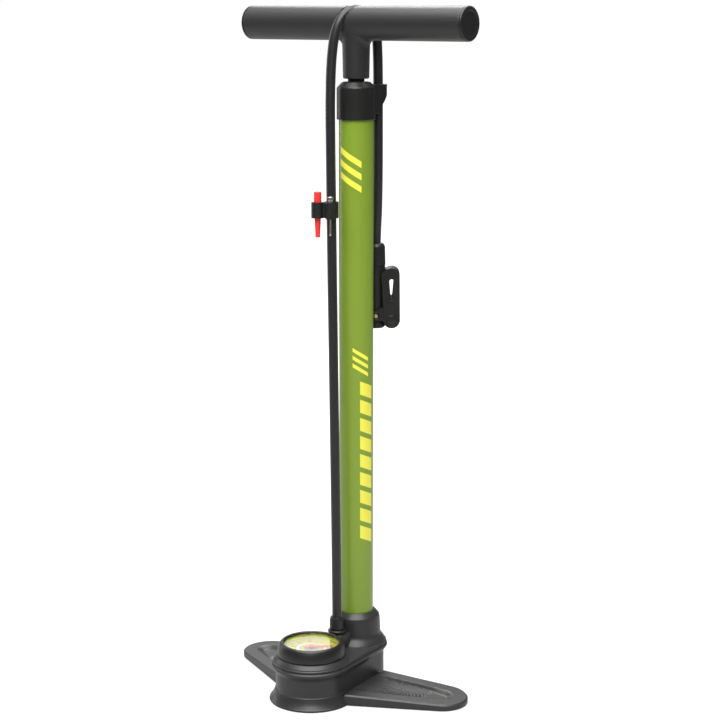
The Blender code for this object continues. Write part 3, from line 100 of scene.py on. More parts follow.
# The camera, and each light's name, place, aim, width, height and power
CAMERA_PLACE = (1.0806, -1.4539, 0.6956)
CAMERA_TILT = math.radians(78.935)
CAMERA_TURN = math.radians(36.5)
LIGHTS = (
    ("top_light", (0.2, -0.4, 2.2), (0.0, 0.0, 0.3), 2.3, 2.3, 92.0),
    ("rim_light", (-0.8, 1.3, 1.9), (0.0, 0.0, 0.6), 1.1, 0.9, 26.0),
    ("front_light", (1.0, -1.6, 1.9), (0.0, 0.0, 0.62), 0.8, 0.8, 17.0),
    ("left_light", (-1.9, -0.1, 0.9), (0.0, 0.0, 0.40), 0.35, 1.6, 6.0),
    ("back_light", (-1.389, 1.083, 0.90), (0.0, -0.077, 0.06), 0.9, 1.0, 3.3),
)

# The hose's route, in millimetres: up from its nut, over the handle and down into the ferrule
HOSE_ROUTE = (
    (0.0, -34.0, 63.0),
    (0.0, -34.0, 84.0),
    (-0.6, -33.7, 130.0),
    (-2.2, -32.8, 200.0),
    (-4.0, -32.0, 280.0),
    (-6.0, -31.0, 365.0),
    (-7.8, -30.1, 440.0),
    (-9.1, -29.3, 498.0),
    (-10.6, -28.3, 560.0),
    (-11.7, -27.2, 602.0),
    (-12.2, -25.4, 632.0),
    (-11.9, -23.6, 652.0),
    (-10.4, -21.4, 669.0),
    (-8.1, -17.4, 681.4),
    (-4.9, -10.4, 690.4),
    (0.0, 0.0, 694.2),
    (4.7, 10.4, 690.4),
    (7.8, 17.6, 681.4),
    (9.2, 21.6, 669.0),
    (9.5, 23.3, 650.0),
    (9.1, 24.6, 625.0),
    (8.9, 25.0, 606.0),
    (8.3, 26.0, 580.0),
    (6.4, 28.6, 530.0),
    (3.4, 31.7, 492.0),
    (0.8, 33.7, 470.0),
    (0.0, 34.2, 455.0),
    (0.0, 34.2, 437.0),
)


# --- Sizes and colours that a user would change -----------------------------------------------------------


def length_property(name, description, default, smallest=0.0, largest=0.1):
    """A length that a user may change, in metres."""
    return bpy.props.FloatProperty(
        name=name,
        description=description,
        default=default,
        min=smallest,
        max=largest,
        unit="LENGTH",
        precision=5,
    )


def colour_property(name, description, default):
    """A colour that a user may change."""
    return bpy.props.FloatVectorProperty(
        name=name, description=description, default=default, min=0.0, max=1.0, subtype="COLOR", size=3
    )


class PumpSizes(bpy.types.PropertyGroup):
    """Sizes of the visible detail."""

    hose_radius: length_property("Hose radius", "Half the rubber hose's diameter", HOSE_RADIUS, 0.003, 0.008)
    groove_room: length_property(
        "Groove room", "Gap between the hose and the handle's groove", 0.7 * MM, 0.0, 0.002
    )
    wing_border: length_property("Wing border", "Width of the foot's raised border", 15.0 * MM, 0.004, 0.02)
    channel_depth: length_property(
        "Channel depth", "How deep the tread lies below the border", 3.2 * MM, 0.0, 0.004
    )
    tread_pitch: length_property("Tread pitch", "Distance between the tread's ridges", 3.2 * MM, 0.001, 0.01)
    tread_height: length_property("Tread height", "Height of the tread's ridges", 0.8 * MM, 0.0, 0.002)
    print_width: length_property(
        "Print width", "Width of the printed column round the barrel", 15.0 * MM, 0.0, 0.03
    )


class PumpColours(bpy.types.PropertyGroup):
    """Colours of the finishes, as linear light."""

    paint: colour_property("Barrel paint", "Satin powder coat on the barrel", (0.232, 0.352, 0.030))
    printed: colour_property("Barrel print", "Yellow print on the barrel", (0.98, 0.93, 0.09))
    foot: colour_property("Foot nylon", "Dark grey nylon of the foot", (0.029, 0.028, 0.028))
    black: colour_property("Black nylon", "Nylon of the cap, bezel, clip and head", (0.0125, 0.0125, 0.012))
    grip: colour_property("Grip", "Soft grip of the handle", (0.017, 0.017, 0.018))
    hose: colour_property("Hose", "Rubber of the hose", (0.011, 0.0115, 0.013))
    red: colour_property("Red plastic", "Cone adapter and needle", (1.0, 0.045, 0.040))
    lime: colour_property("Lime ring", "Ring round the dial", (0.62, 0.68, 0.05))
    floor: colour_property("Floor", "Pale studio floor", (0.45, 0.45, 0.45))


def sizes():
    """The sizes that the panel shows."""
    return bpy.context.scene.pump_sizes


def colours():
    """The colours that the panel shows."""
    return bpy.context.scene.pump_colours


# --- Shapes -----------------------------------------------------------------------------------------------


def smoothstep(value, low, high):
    """Goes from 0 at low to 1 at high along 3 t squared minus 2 t cubed."""
    t = np.clip((value - low) / (high - low), 0.0, 1.0)
    return t * t * (3 - 2 * t)


def softened(profile, radius, closed=False, steps=5):
    """A profile whose corners are rounded: each corner becomes the quadratic curve from the point one
    radius before it to the point one radius after it, steered by the corner. No cut takes more than 0.48 of
    a side."""
    points = np.asarray(profile, float)
    cut = np.broadcast_to(np.asarray(radius, float), len(points)).copy()
    to_last, to_next = np.roll(points, 1, 0) - points, np.roll(points, -1, 0) - points
    last_length, next_length = np.linalg.norm(to_last, axis=1), np.linalg.norm(to_next, axis=1)
    if not closed:
        cut[[0, -1]] = 0.0
    cut = np.minimum(cut, 0.48 * np.minimum(last_length, next_length))
    start = points + to_last * (cut / last_length)[:, None]
    end = points + to_next * (cut / next_length)[:, None]
    t = np.linspace(0.0, 1.0, steps)[None, :, None]
    curve = (1 - t) ** 2 * start[:, None] + 2 * t * (1 - t) * points[:, None] + t**2 * end[:, None]
    curve = curve.reshape(-1, points.shape[1])
    step = np.linalg.norm(curve - np.roll(curve, 1, 0), axis=1)
    keep = step > 1e-7
    keep[0] = True
    return curve[keep]


def surface(name, grid, around=True, along=False, uv=None):
    """A mesh of the quads between neighbouring points of a grid with rows, columns and xyz. Columns close on
    themselves when around is set, and rows when along is set. uv is the grid's own map."""
    rows, columns = grid.shape[:2]
    r = np.arange(rows if along else rows - 1)[:, None]
    c = np.arange(columns if around else columns - 1)[None, :]

    def index(row, column):
        return (row % rows) * columns + column % columns

    faces = np.stack([index(r, c), index(r, c + 1), index(r + 1, c + 1), index(r + 1, c)], -1).reshape(-1, 4)
    mesh = bpy.data.meshes.new(name)
    mesh.from_pydata(grid.reshape(-1, 3).tolist(), [], faces.tolist())
    if uv is not None:
        layer = mesh.uv_layers.new(name="along_surface")
        layer.data.foreach_set("uv", uv.reshape(-1, 2)[faces.ravel()].astype(np.float32).ravel())
    return mesh


def welded(mesh, distance=2e-6):
    """The mesh with its seams and poles closed, and its faces turned outwards."""
    shape = bmesh.new()
    shape.from_mesh(mesh)
    bmesh.ops.remove_doubles(shape, verts=shape.verts, dist=distance)
    bmesh.ops.dissolve_degenerate(shape, edges=shape.edges, dist=1e-7)
    bmesh.ops.recalc_face_normals(shape, faces=shape.faces)
    shape.to_mesh(mesh)
    shape.free()
    return mesh


def united(name, *meshes):
    """One mesh of several closed shells."""
    shape = bmesh.new()
    for mesh in meshes:
        shape.from_mesh(mesh)
        bpy.data.meshes.remove(mesh)
    made = bpy.data.meshes.new(name)
    shape.to_mesh(made)
    shape.free()
    return made


def piece(name, mesh, finish, body, replaces=(), angle=SMOOTH_ANGLE):
    """A finished piece: smooth but for its sharp edges, flats kept flat, in its finish, and riding on its
    body."""
    mesh.name = name
    mesh.materials.clear()
    mesh.materials.append(finish)
    mesh.shade_smooth()
    mesh.set_sharp_from_angle(angle=angle)
    made = bpy.data.objects.new(name, mesh)
    bpy.context.scene.collection.objects.link(made)
    flat = made.modifiers.new("flat_faces", "WEIGHTED_NORMAL")
    flat.keep_sharp = True
    if replaces:
        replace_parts(made, *replaces)
    if body:
        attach(made, body)
    return made


def lathe(name, profile, centre=(0.0, 0.0), steps=96, closed=False):
    """A profile of radius and height turned round the upright axis through centre:
    x is radius times cosine, y is radius times sine, z is height."""
    profile = np.asarray(profile, float)
    angle = np.linspace(0.0, 2 * math.pi, steps, endpoint=False)[None, :]
    radius, height = profile[:, :1], profile[:, 1:]
    grid = np.stack(
        [centre[0] + radius * np.cos(angle), centre[1] + radius * np.sin(angle), height + 0 * angle], -1
    )
    return welded(surface(name, grid, along=closed))


def sideways(mesh, axis_height):
    """Turns a lathed mesh so that its axis lies along X at a height, its own height becoming x."""
    mesh.transform(Matrix.Translation((0.0, 0.0, axis_height)) @ Matrix.Rotation(math.pi / 2, 4, "Y"))
    return mesh


def band(first, second, count):
    """Places round a band stretched over two circles (x, y, radius), as centres, outward directions and
    radii. The outline is each centre plus its direction times its radius: two arcs and the two flanks
    between them."""
    first, second = np.array(first, float), np.array(second, float)
    apart = second[:2] - first[:2]
    distance = np.hypot(*apart)
    along = math.atan2(apart[1], apart[0])
    tilt = math.acos((first[2] - second[2]) / distance)
    flank = math.sqrt(distance**2 - (first[2] - second[2]) ** 2)
    arcs = first[2] * (2 * math.pi - 2 * tilt), second[2] * 2 * tilt
    knots = np.cumsum([0.0, arcs[0], flank, arcs[1], flank])
    place = np.linspace(0.0, knots[-1], count, endpoint=False)
    turned = 2 * math.pi + along
    turns = [along + tilt, turned - tilt, turned - tilt, turned + tilt, turned + tilt]
    angle = np.interp(place, knots, turns)
    mix = np.interp(place, knots, [0.0, 0.0, 1.0, 1.0, 0.0])
    centre = first[None, :2] + apart[None, :] * mix[:, None]
    return centre, np.stack([np.cos(angle), np.sin(angle)], -1), first[2] + (second[2] - first[2]) * mix


def carried(name, places, profile):
    """A profile carried round a band. Each profile point is the share of the band's radius, an offset
    outwards and a height, so share 0 lies on the band's middle line and closes the surface there."""
    centre, outward, radius = places
    share, offset, height = np.asarray(profile, float).T[:, :, None]
    reach = share * radius[None, :] + offset
    flat = centre[None] + outward[None] * reach[..., None]
    grid = np.concatenate([flat, (height + 0 * reach)[..., None]], -1)
    return welded(surface(name, grid))


def band_distance(x, y, first, second):
    """How far a point lies outside a band stretched over two circles: the distance to the nearer circle, or
    to the flank where the point lies abreast of it."""
    (x1, y1, r1), (x2, y2, r2) = first, second
    length = math.hypot(x2 - x1, y2 - y1)
    ax, ay = (x2 - x1) / length, (y2 - y1) / length
    forward = (x - x1) * ax + (y - y1) * ay
    aside = np.abs((x - x1) * ay - (y - y1) * ax)
    b = (r1 - r2) / length
    a = math.sqrt(1 - b * b)
    level = -b * aside + a * forward
    flank = a * aside + b * forward - r1
    near = np.hypot(aside, forward) - r1
    far = np.hypot(aside, forward - length) - r2
    return np.where(level < 0, near, np.where(level > a * length, far, flank))


def strip(name, path, half, low, high, edge):
    """A bar of rectangular section with rounded edges, carried along a path in plan. half is its half
    width; low and high are the heights of its two faces, one value for each path point or for each point of
    the section."""
    path = np.asarray(path, float)
    ahead = np.gradient(path, axis=0)
    ahead = ahead / np.linalg.norm(ahead, axis=1)[:, None]
    aside = np.stack([-ahead[:, 1], ahead[:, 0]], -1)
    quarter = np.linspace(0.0, math.pi / 2, 4)
    inset_a, inset_z = 1 - np.cos(quarter), 1 - np.sin(quarter)
    sign_a = np.repeat([1.0, -1.0, -1.0, 1.0], 4)
    sign_z = np.repeat([1.0, 1.0, -1.0, -1.0], 4)
    ea = np.concatenate([inset_a, inset_a[::-1], inset_a, inset_a[::-1]]) * edge
    ez = np.concatenate([inset_z, inset_z[::-1], inset_z, inset_z[::-1]]) * edge
    half = np.broadcast_to(np.asarray(half, float).reshape(-1, 1), (len(path), 1))
    across = sign_a * (half - ea)
    flat = path[:, None, :] + aside[:, None, :] * across[..., None]
    if callable(low):
        low = low(flat)
    low, high = (np.asarray(v, float).reshape(-1, 1) if np.ndim(v) < 2 else v for v in (low, high))
    height = np.where(sign_z > 0, high - ez, low + ez) + 0 * across
    grid = np.concatenate([flat, height[..., None]], -1)
    ends = grid[[0, -1]].mean(1, keepdims=True) + 0 * grid[[0, -1]]
    return welded(surface(name, np.concatenate([ends[:1], grid, ends[1:]])))


def arc_path(centre, radius, start, end, count):
    """Points along an arc in plan, its angles in degrees."""
    angle = np.radians(np.linspace(start, end, count))
    return np.stack([centre[0] + radius * np.cos(angle), centre[1] + radius * np.sin(angle)], -1)


def smooth_route(route, count):
    """Points at even lengths along the smooth curve through the route: cubic pieces whose slopes are those
    of the route against the running sum of the square roots of its steps."""
    knots = np.array(route) * MM
    at = np.concatenate([[0.0], np.cumsum(np.sqrt(np.linalg.norm(np.diff(knots, axis=0), axis=1)))])
    slope = np.gradient(knots, at, axis=0)
    span = np.diff(at)[:, None, None]
    t = np.linspace(0.0, 1.0, 24, endpoint=False)[None, :, None]
    fine = (
        (2 * t**3 - 3 * t**2 + 1) * knots[:-1, None]
        + (t**3 - 2 * t**2 + t) * span * slope[:-1, None]
        + (3 * t**2 - 2 * t**3) * knots[1:, None]
        + (t**3 - t**2) * span * slope[1:, None]
    )
    fine = np.vstack([fine.reshape(-1, 3), knots[-1:]])
    length = np.concatenate([[0.0], np.cumsum(np.linalg.norm(np.diff(fine, axis=0), axis=1))])
    even = np.linspace(0.0, length[-1], count)
    return np.column_stack([np.interp(even, length, fine[:, k]) for k in range(3)])


def tube(name, path, radius, steps=28, side=(0.913, -0.407, 0.0)):
    """A round tube about a path. Each ring lies square to the path, with its first direction kept in line
    with side, and both ends close on the path. The map runs round the tube and along it."""
    ahead = np.gradient(path, axis=0)
    ahead = ahead / np.linalg.norm(ahead, axis=1)[:, None]
    across = np.array(side)[None] - (ahead @ np.array(side))[:, None] * ahead
    across = across / np.linalg.norm(across, axis=1)[:, None]
    up = np.cross(ahead, across)
    angle = np.linspace(0.0, 2 * math.pi, steps, endpoint=False)[None, :, None]
    ring = across[:, None] * np.cos(angle) + up[:, None] * np.sin(angle)
    radius = np.broadcast_to(np.asarray(radius, float), len(path))[:, None, None]
    grid = path[:, None] + ring * radius
    grid = np.concatenate([path[:1, None] + 0 * grid[:1], grid, path[-1:, None] + 0 * grid[-1:]])
    run = np.concatenate([[0.0], np.cumsum(np.linalg.norm(np.diff(path, axis=0), axis=1))])
    run = np.concatenate([run[:1], run, run[-1:]])
    uv = np.stack(np.broadcast_arrays(np.linspace(0, 1, steps)[None, :], run[:, None]), -1)
    return welded(surface(name, grid, uv=uv))


def refined(node, width, segments=2):
    """A copy of a CAD node's mesh with its loose triangles welded, its flat faces made whole, and its edges
    rounded."""
    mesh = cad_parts[node].data.copy()
    shape = bmesh.new()
    shape.from_mesh(mesh)
    bmesh.ops.remove_doubles(shape, verts=shape.verts, dist=2e-6)
    bmesh.ops.dissolve_limit(shape, angle_limit=math.radians(1.0), verts=shape.verts, edges=shape.edges)
    turn = math.radians(28.0)
    sharp = [e for e in shape.edges if len(e.link_faces) == 2 and e.calc_face_angle() > turn]
    bmesh.ops.bevel(
        shape, geom=sharp, offset=width, segments=segments, profile=0.5, affect="EDGES", clamp_overlap=True
    )
    bmesh.ops.remove_doubles(shape, verts=shape.verts, dist=1e-6)
    bmesh.ops.recalc_face_normals(shape, faces=shape.faces)
    shape.to_mesh(mesh)
    shape.free()
    return mesh


# --- Shader helpers and shared effects --------------------------------------------------------------------


def node(tree, kind, settings=None, **inputs):
    """A new node. inputs are values or sockets by input name, or by number as i0, i1 and so on."""
    made = tree.nodes.new(kind)
    for key, value in (settings or {}).items():
        setattr(made, key, value)
    for key, value in inputs.items():
        numbered = key[0] == "i" and key[1:].isdigit()
        socket = made.inputs[int(key[1:])] if numbered else made.inputs[key.replace("_", " ")]
        if isinstance(value, bpy.types.NodeSocket):
            tree.links.new(value, socket)
        else:
            socket.default_value = value
    return made


def maths(tree, operation, first, second=0.0, third=0.0):
    """One math node on values or sockets. Only a few operations take the third."""
    made = node(tree, "ShaderNodeMath", {"operation": operation}, i0=first, i1=second)
    if operation in ("MULTIPLY_ADD", "COMPARE", "SMOOTH_MIN", "SMOOTH_MAX"):
        if isinstance(third, bpy.types.NodeSocket):
            tree.links.new(third, made.inputs[2])
        else:
            made.inputs[2].default_value = third
    return made.outputs[0]


def between(tree, value, low, high, soft):
    """1 where value lies between low and high, with edges as wide as soft."""
    up = node(
        tree, "ShaderNodeMapRange", {"interpolation_type": "SMOOTHSTEP"},
        Value=value, From_Min=low - soft, From_Max=low + soft,
    ).outputs[0]
    down = node(
        tree, "ShaderNodeMapRange", {"interpolation_type": "SMOOTHSTEP"},
        Value=value, From_Min=high + soft, From_Max=high - soft,
    ).outputs[0]
    return maths(tree, "MULTIPLY", up, down)


def new_group(name, inputs, outputs):
    """An empty shader group. inputs are name and default, outputs are name and socket type."""
    group = bpy.data.node_groups.new(name, "ShaderNodeTree")
    for label, default in inputs:
        socket = group.interface.new_socket(label, in_out="INPUT", socket_type="NodeSocketFloat")
        socket.default_value = default
    for label, kind in outputs:
        group.interface.new_socket(label, in_out="OUTPUT", socket_type=kind)
    return group, group.nodes.new("NodeGroupInput"), group.nodes.new("NodeGroupOutput")


def grain_group():
    """Spark-eroded mould grain: fine noise for height, with slow patches that a hand or dust leaves."""
    group, source, result = new_group(
        "moulded_grain",
        [("Grain", 900.0), ("Patch", 22.0), ("Patch Strength", 0.12)],
        [("Height", "NodeSocketFloat"), ("Tone", "NodeSocketFloat"), ("Gloss", "NodeSocketFloat")],
    )
    place = node(group, "ShaderNodeTexCoord").outputs["Object"]
    fine = node(group, "ShaderNodeTexNoise", Vector=place, Scale=source.outputs["Grain"], Detail=2.0)
    patch = source.outputs["Patch"]
    slow = node(group, "ShaderNodeTexNoise", Vector=place, Scale=patch, Detail=4.0, Roughness=0.62)
    group.links.new(fine.outputs[0], result.inputs["Height"])
    lift = maths(group, "SUBTRACT", slow.outputs[0], 0.5)
    tone = maths(group, "MULTIPLY_ADD", lift, source.outputs["Patch Strength"], 1.0)
    gloss = maths(group, "MULTIPLY_ADD", lift, source.outputs["Patch Strength"], 0.0)
    group.links.new(tone, result.inputs["Tone"])
    group.links.new(gloss, result.inputs["Gloss"])
    return group


def scratch_group():
    """Hairline scratches along Z: noise stretched along the axis, kept only where it is strongest."""
    group, source, result = new_group(
        "hairlines", [("Across", 1400.0), ("Along", 26.0), ("Share", 0.62)], [("Lines", "NodeSocketFloat")]
    )
    place = node(group, "ShaderNodeTexCoord").outputs["Object"]
    across, along, share = (source.outputs[label] for label in ("Across", "Along", "Share"))
    stretch = node(group, "ShaderNodeCombineXYZ", i0=across, i1=across, i2=along)
    scaled = node(group, "ShaderNodeVectorMath", {"operation": "MULTIPLY"}, i0=place, i1=stretch.outputs[0])
    noise = node(group, "ShaderNodeTexNoise", Vector=scaled.outputs[0], Scale=1.0, Detail=1.0)
    lines = node(group, "ShaderNodeMapRange", Value=noise.outputs[0], From_Min=share, From_Max=0.8)
    group.links.new(lines.outputs[0], result.inputs["Lines"])
    return group


def print_group():
    """The barrel's print: a column of slanted blocks, and two stacks of slanted bars. Angle round the barrel
    times its radius is the distance round, and Z is the distance up."""
    group, source, result = new_group("barrel_print", [("Width", 0.015)], [("Mask", "NodeSocketFloat")])
    place = node(group, "ShaderNodeTexCoord").outputs["Object"]
    x, y, z = node(group, "ShaderNodeSeparateXYZ", Vector=place).outputs
    angle = maths(group, "ARCTAN2", y, x)
    soft = 0.12 * MM

    def around(degrees):
        return maths(group, "MULTIPLY", maths(group, "SUBTRACT", angle, math.radians(degrees)), BARREL_RADIUS)

    def blocks(degrees, half, low, high, pitch, share, slant):
        """Blocks between two heights, pitch apart, filling a share of it, and rising by slant across the
        width."""
        out = around(degrees)
        rise = maths(group, "MULTIPLY_ADD", out, slant, z)
        phase = maths(group, "FRACT", maths(group, "DIVIDE", maths(group, "SUBTRACT", rise, low), pitch))
        inside = between(group, phase, 0.5 - share / 2, 0.5 + share / 2, soft / pitch)
        reach = maths(group, "ABSOLUTE", out)
        if isinstance(half, bpy.types.NodeSocket):
            gap = maths(group, "SUBTRACT", half, reach)
            wide = node(group, "ShaderNodeMapRange", Value=gap, From_Min=-soft, From_Max=soft).outputs[0]
        else:
            wide = between(group, reach, -1.0, half, soft)
        tall = between(group, rise, low, high, soft)
        return maths(group, "MULTIPLY", maths(group, "MULTIPLY", inside, wide), tall)

    half_width = maths(group, "MULTIPLY", source.outputs["Width"], 0.5)
    parts = [
        blocks(-16.0, half_width, 151 * MM, 322 * MM, 19 * MM, 0.72, 0.42),
        blocks(-38.0, 8.5 * MM, 330 * MM, 354 * MM, 8 * MM, 0.5, 0.62),
        blocks(-75.0, 12.0 * MM, 519 * MM, 556 * MM, 12.34 * MM, 0.52, 0.62),
    ]
    mask = maths(group, "MAXIMUM", maths(group, "MAXIMUM", parts[0], parts[1]), parts[2])
    group.links.new(mask, result.inputs["Mask"])
    return group


def dial_group():
    """The dial's print in polar measure about the gauge's axis: radius gives the bands, and the angle turned
    clockwise from zero gives the ticks."""
    group, _, result = new_group(
        "dial_print",
        [],
        [("Yellow", "NodeSocketFloat"), ("Ink", "NodeSocketFloat"), ("Grey", "NodeSocketFloat")],
    )
    place = node(group, "ShaderNodeTexCoord").outputs["Object"]
    centred = node(
        group, "ShaderNodeMapping", Vector=place, Location=(-GAUGE_PLACE[0], -GAUGE_PLACE[1], 0.0)
    ).outputs[0]
    x, y, _ = node(group, "ShaderNodeSeparateXYZ", Vector=centred).outputs
    squares = maths(group, "ADD", maths(group, "MULTIPLY", x, x), maths(group, "MULTIPLY", y, y))
    reach = maths(group, "SQRT", squares)
    back = maths(group, "SUBTRACT", NEEDLE_ZERO, maths(group, "ARCTAN2", y, x))
    share = maths(group, "FRACT", maths(group, "DIVIDE", back, 2 * math.pi))
    turn = maths(group, "MULTIPLY", share, 2 * math.pi)
    on_scale = between(group, turn, -0.004, DIAL_SWEEP + 0.004, 0.002)
    soft = 0.06 * MM

    def ticks(count, inner, outer, width):
        step = DIAL_SWEEP / count
        phase = maths(group, "FRACT", maths(group, "ADD", maths(group, "DIVIDE", turn, step), 0.5))
        off = maths(group, "ABSOLUTE", maths(group, "SUBTRACT", phase, 0.5))
        apart = maths(group, "MULTIPLY", maths(group, "MULTIPLY", off, step), reach)
        line = between(group, apart, -1.0, width / 2, 0.04 * MM)
        band_mask = between(group, reach, inner, outer, soft)
        return maths(group, "MULTIPLY", maths(group, "MULTIPLY", line, band_mask), on_scale)

    yellow = maths(
        group,
        "MAXIMUM",
        between(group, reach, 16.4 * MM, 26.5 * MM, soft),
        between(group, reach, 8.0 * MM, 11.8 * MM, soft),
    )
    long_ticks = ticks(16, 22.8 * MM, 26.2 * MM, 0.62 * MM)
    short_ticks = ticks(80, 24.6 * MM, 26.2 * MM, 0.28 * MM)
    inner_ticks = ticks(10, 12.0 * MM, 14.0 * MM, 0.45 * MM)
    ink = maths(group, "MAXIMUM", maths(group, "MAXIMUM", long_ticks, short_ticks), inner_ticks)
    rings = maths(
        group,
        "MAXIMUM",
        between(group, reach, 16.1 * MM, 16.5 * MM, soft),
        between(group, reach, 11.7 * MM, 12.1 * MM, soft),
    )
    for value, label in ((yellow, "Yellow"), (maths(group, "MAXIMUM", ink, rings), "Ink")):
        group.links.new(value, result.inputs[label])
    group.links.new(between(group, reach, -1.0, 8.0 * MM, soft), result.inputs["Grey"])
    return group


GROUPS = {"grain": grain_group, "hairlines": scratch_group, "print": print_group, "dial": dial_group}


def effect(tree, name, **inputs):
    """A shared effect placed in a material. Its group is built the first time."""
    known = bpy.data.node_groups.get("pump_" + name)
    if known is None:
        known = GROUPS[name]()
        known.name = "pump_" + name
    return node(tree, "ShaderNodeGroup", {"node_tree": known}, **inputs)


def blank(name, colour, roughness, metallic=0.0, **settings):
    """A material with one Principled shader; settings go onto the shader's own sockets."""
    made = bpy.data.materials.new(name)
    made.use_nodes = True
    tree = made.node_tree
    shader = tree.nodes["Principled BSDF"]
    shader.inputs["Base Color"].default_value = (*colour, 1.0)
    shader.inputs["Roughness"].default_value = roughness
    shader.inputs["Metallic"].default_value = metallic
    for key, value in settings.items():
        shader.inputs[key.replace("_", " ")].default_value = value
    return made, tree, shader


def tinted(tree, colour, factor):
    """A colour made lighter or darker by a factor."""
    grey = node(tree, "ShaderNodeCombineColor", i0=factor, i1=factor, i2=factor).outputs[0]
    settings = {"data_type": "RGBA", "blend_type": "MULTIPLY"}
    return node(tree, "ShaderNodeMix", settings, i0=1.0, i6=(*colour, 1.0), i7=grey).outputs[2]


def mixed(tree, mask, first, second):
    """The first colour where the mask is 0 and the second where it is 1."""
    first = first if isinstance(first, bpy.types.NodeSocket) else (*first, 1.0)
    second = second if isinstance(second, bpy.types.NodeSocket) else (*second, 1.0)
    return node(tree, "ShaderNodeMix", {"data_type": "RGBA"}, i0=mask, i6=first, i7=second).outputs[2]


def bump(tree, shader, height, distance):
    """Tilts the shader's normal by a height, whose value of 1 stands for a distance."""
    lifted = node(tree, "ShaderNodeBump", Height=height, Distance=distance)
    tree.links.new(lifted.outputs[0], shader.inputs["Normal"])


def moulded(name, colour, roughness, grain, depth, patch, **settings):
    """A moulded plastic or rubber: grain on its surface, and slow patches in its tone and its gloss."""
    made, tree, shader = blank(name, colour, roughness, **settings)
    marks = effect(tree, "grain", Grain=grain, Patch=22.0, Patch_Strength=patch)
    tree.links.new(tinted(tree, colour, marks.outputs["Tone"]), shader.inputs["Base Color"])
    rough = maths(tree, "ADD", maths(tree, "MULTIPLY", marks.outputs["Gloss"], 0.6), roughness)
    tree.links.new(rough, shader.inputs["Roughness"])
    bump(tree, shader, marks.outputs["Height"], depth)
    return made


def barrel_paint():
    """Satin powder coat with a slight orange peel, and the yellow print lying on it."""
    made, tree, shader = blank("barrel_paint", colours().paint, 0.34, Coat_Weight=0.25, Coat_Roughness=0.22)
    marks = effect(tree, "grain", Grain=420.0, Patch=14.0, Patch_Strength=0.10)
    mask = effect(tree, "print", Width=sizes().print_width).outputs["Mask"]
    paint = tinted(tree, colours().paint, marks.outputs["Tone"])
    tree.links.new(mixed(tree, mask, paint, colours().printed), shader.inputs["Base Color"])
    rough = maths(tree, "ADD", maths(tree, "MULTIPLY", marks.outputs["Gloss"], 0.5), 0.34)
    tree.links.new(maths(tree, "MULTIPLY_ADD", mask, 0.08, rough), shader.inputs["Roughness"])
    height = maths(tree, "MULTIPLY_ADD", mask, 0.6, marks.outputs["Height"])
    bump(tree, shader, height, 0.02 * MM)
    return made


def machined(name, colour, roughness, across=1400.0, along=26.0):
    """Bright metal with hairlines along the axis that change its gloss."""
    made, tree, shader = blank(name, colour, roughness, 1.0)
    lines = effect(tree, "hairlines", Across=across, Along=along, Share=0.56).outputs["Lines"]
    marks = effect(tree, "grain", Grain=600.0, Patch=40.0, Patch_Strength=0.15)
    tree.links.new(tinted(tree, colour, marks.outputs["Tone"]), shader.inputs["Base Color"])
    tree.links.new(maths(tree, "MULTIPLY_ADD", lines, 0.18, roughness), shader.inputs["Roughness"])
    bump(tree, shader, lines, 0.004 * MM)
    return made


def hose_rubber():
    """Extruded hose rubber: fine draw lines along the hose, from its own map, and a soft sheen."""
    made, tree, shader = blank(
        "hose_rubber", colours().hose, 0.36, Sheen_Weight=0.25, Sheen_Roughness=0.4, Specular_IOR_Level=0.55
    )
    place = node(tree, "ShaderNodeUVMap", {"uv_map": "along_surface"}).outputs[0]
    stretched = node(tree, "ShaderNodeMapping", Vector=place, Scale=(60.0, 30.0, 1.0)).outputs[0]
    draw = node(tree, "ShaderNodeTexNoise", Vector=stretched, Scale=1.0, Detail=3.0).outputs[0]
    marks = effect(tree, "grain", Grain=1200.0, Patch=30.0, Patch_Strength=0.3)
    tree.links.new(tinted(tree, colours().hose, marks.outputs["Tone"]), shader.inputs["Base Color"])
    tree.links.new(maths(tree, "MULTIPLY_ADD", draw, 0.16, 0.30), shader.inputs["Roughness"])
    bump(tree, shader, maths(tree, "MULTIPLY_ADD", draw, 0.6, marks.outputs["Height"]), 0.02 * MM)
    return made


def dial_print():
    """The printed dial: white card, yellow bands, a grey middle and black ticks."""
    made, tree, shader = blank("dial_print", (0.72, 0.73, 0.72), 0.5)
    masks = effect(tree, "dial")
    marks = effect(tree, "grain", Grain=1500.0, Patch=60.0, Patch_Strength=0.08)
    ground = tinted(tree, (0.72, 0.73, 0.72), marks.outputs["Tone"])
    tone = mixed(tree, masks.outputs["Grey"], ground, (0.42, 0.43, 0.44))
    tone = mixed(tree, masks.outputs["Yellow"], tone, (0.68, 0.58, 0.07))
    tone = mixed(tree, masks.outputs["Ink"], tone, (0.02, 0.02, 0.02))
    tree.links.new(tone, shader.inputs["Base Color"])
    return made


def clear_lens():
    """Clear moulded plastic with faint polishing marks."""
    made, tree, shader = blank("clear_lens", (0.97, 0.985, 0.98), 0.03, Transmission_Weight=1.0, IOR=1.49)
    marks = effect(tree, "grain", Grain=260.0, Patch=50.0, Patch_Strength=0.02)
    tree.links.new(maths(tree, "ADD", marks.outputs["Gloss"], 0.035), shader.inputs["Roughness"])
    return made


def finish(name):
    """The named finish, made the first time that a piece asks for it."""
    label = "pump_" + name
    if label not in bpy.data.materials:
        FINISHES[name]().name = label
    return bpy.data.materials[label]


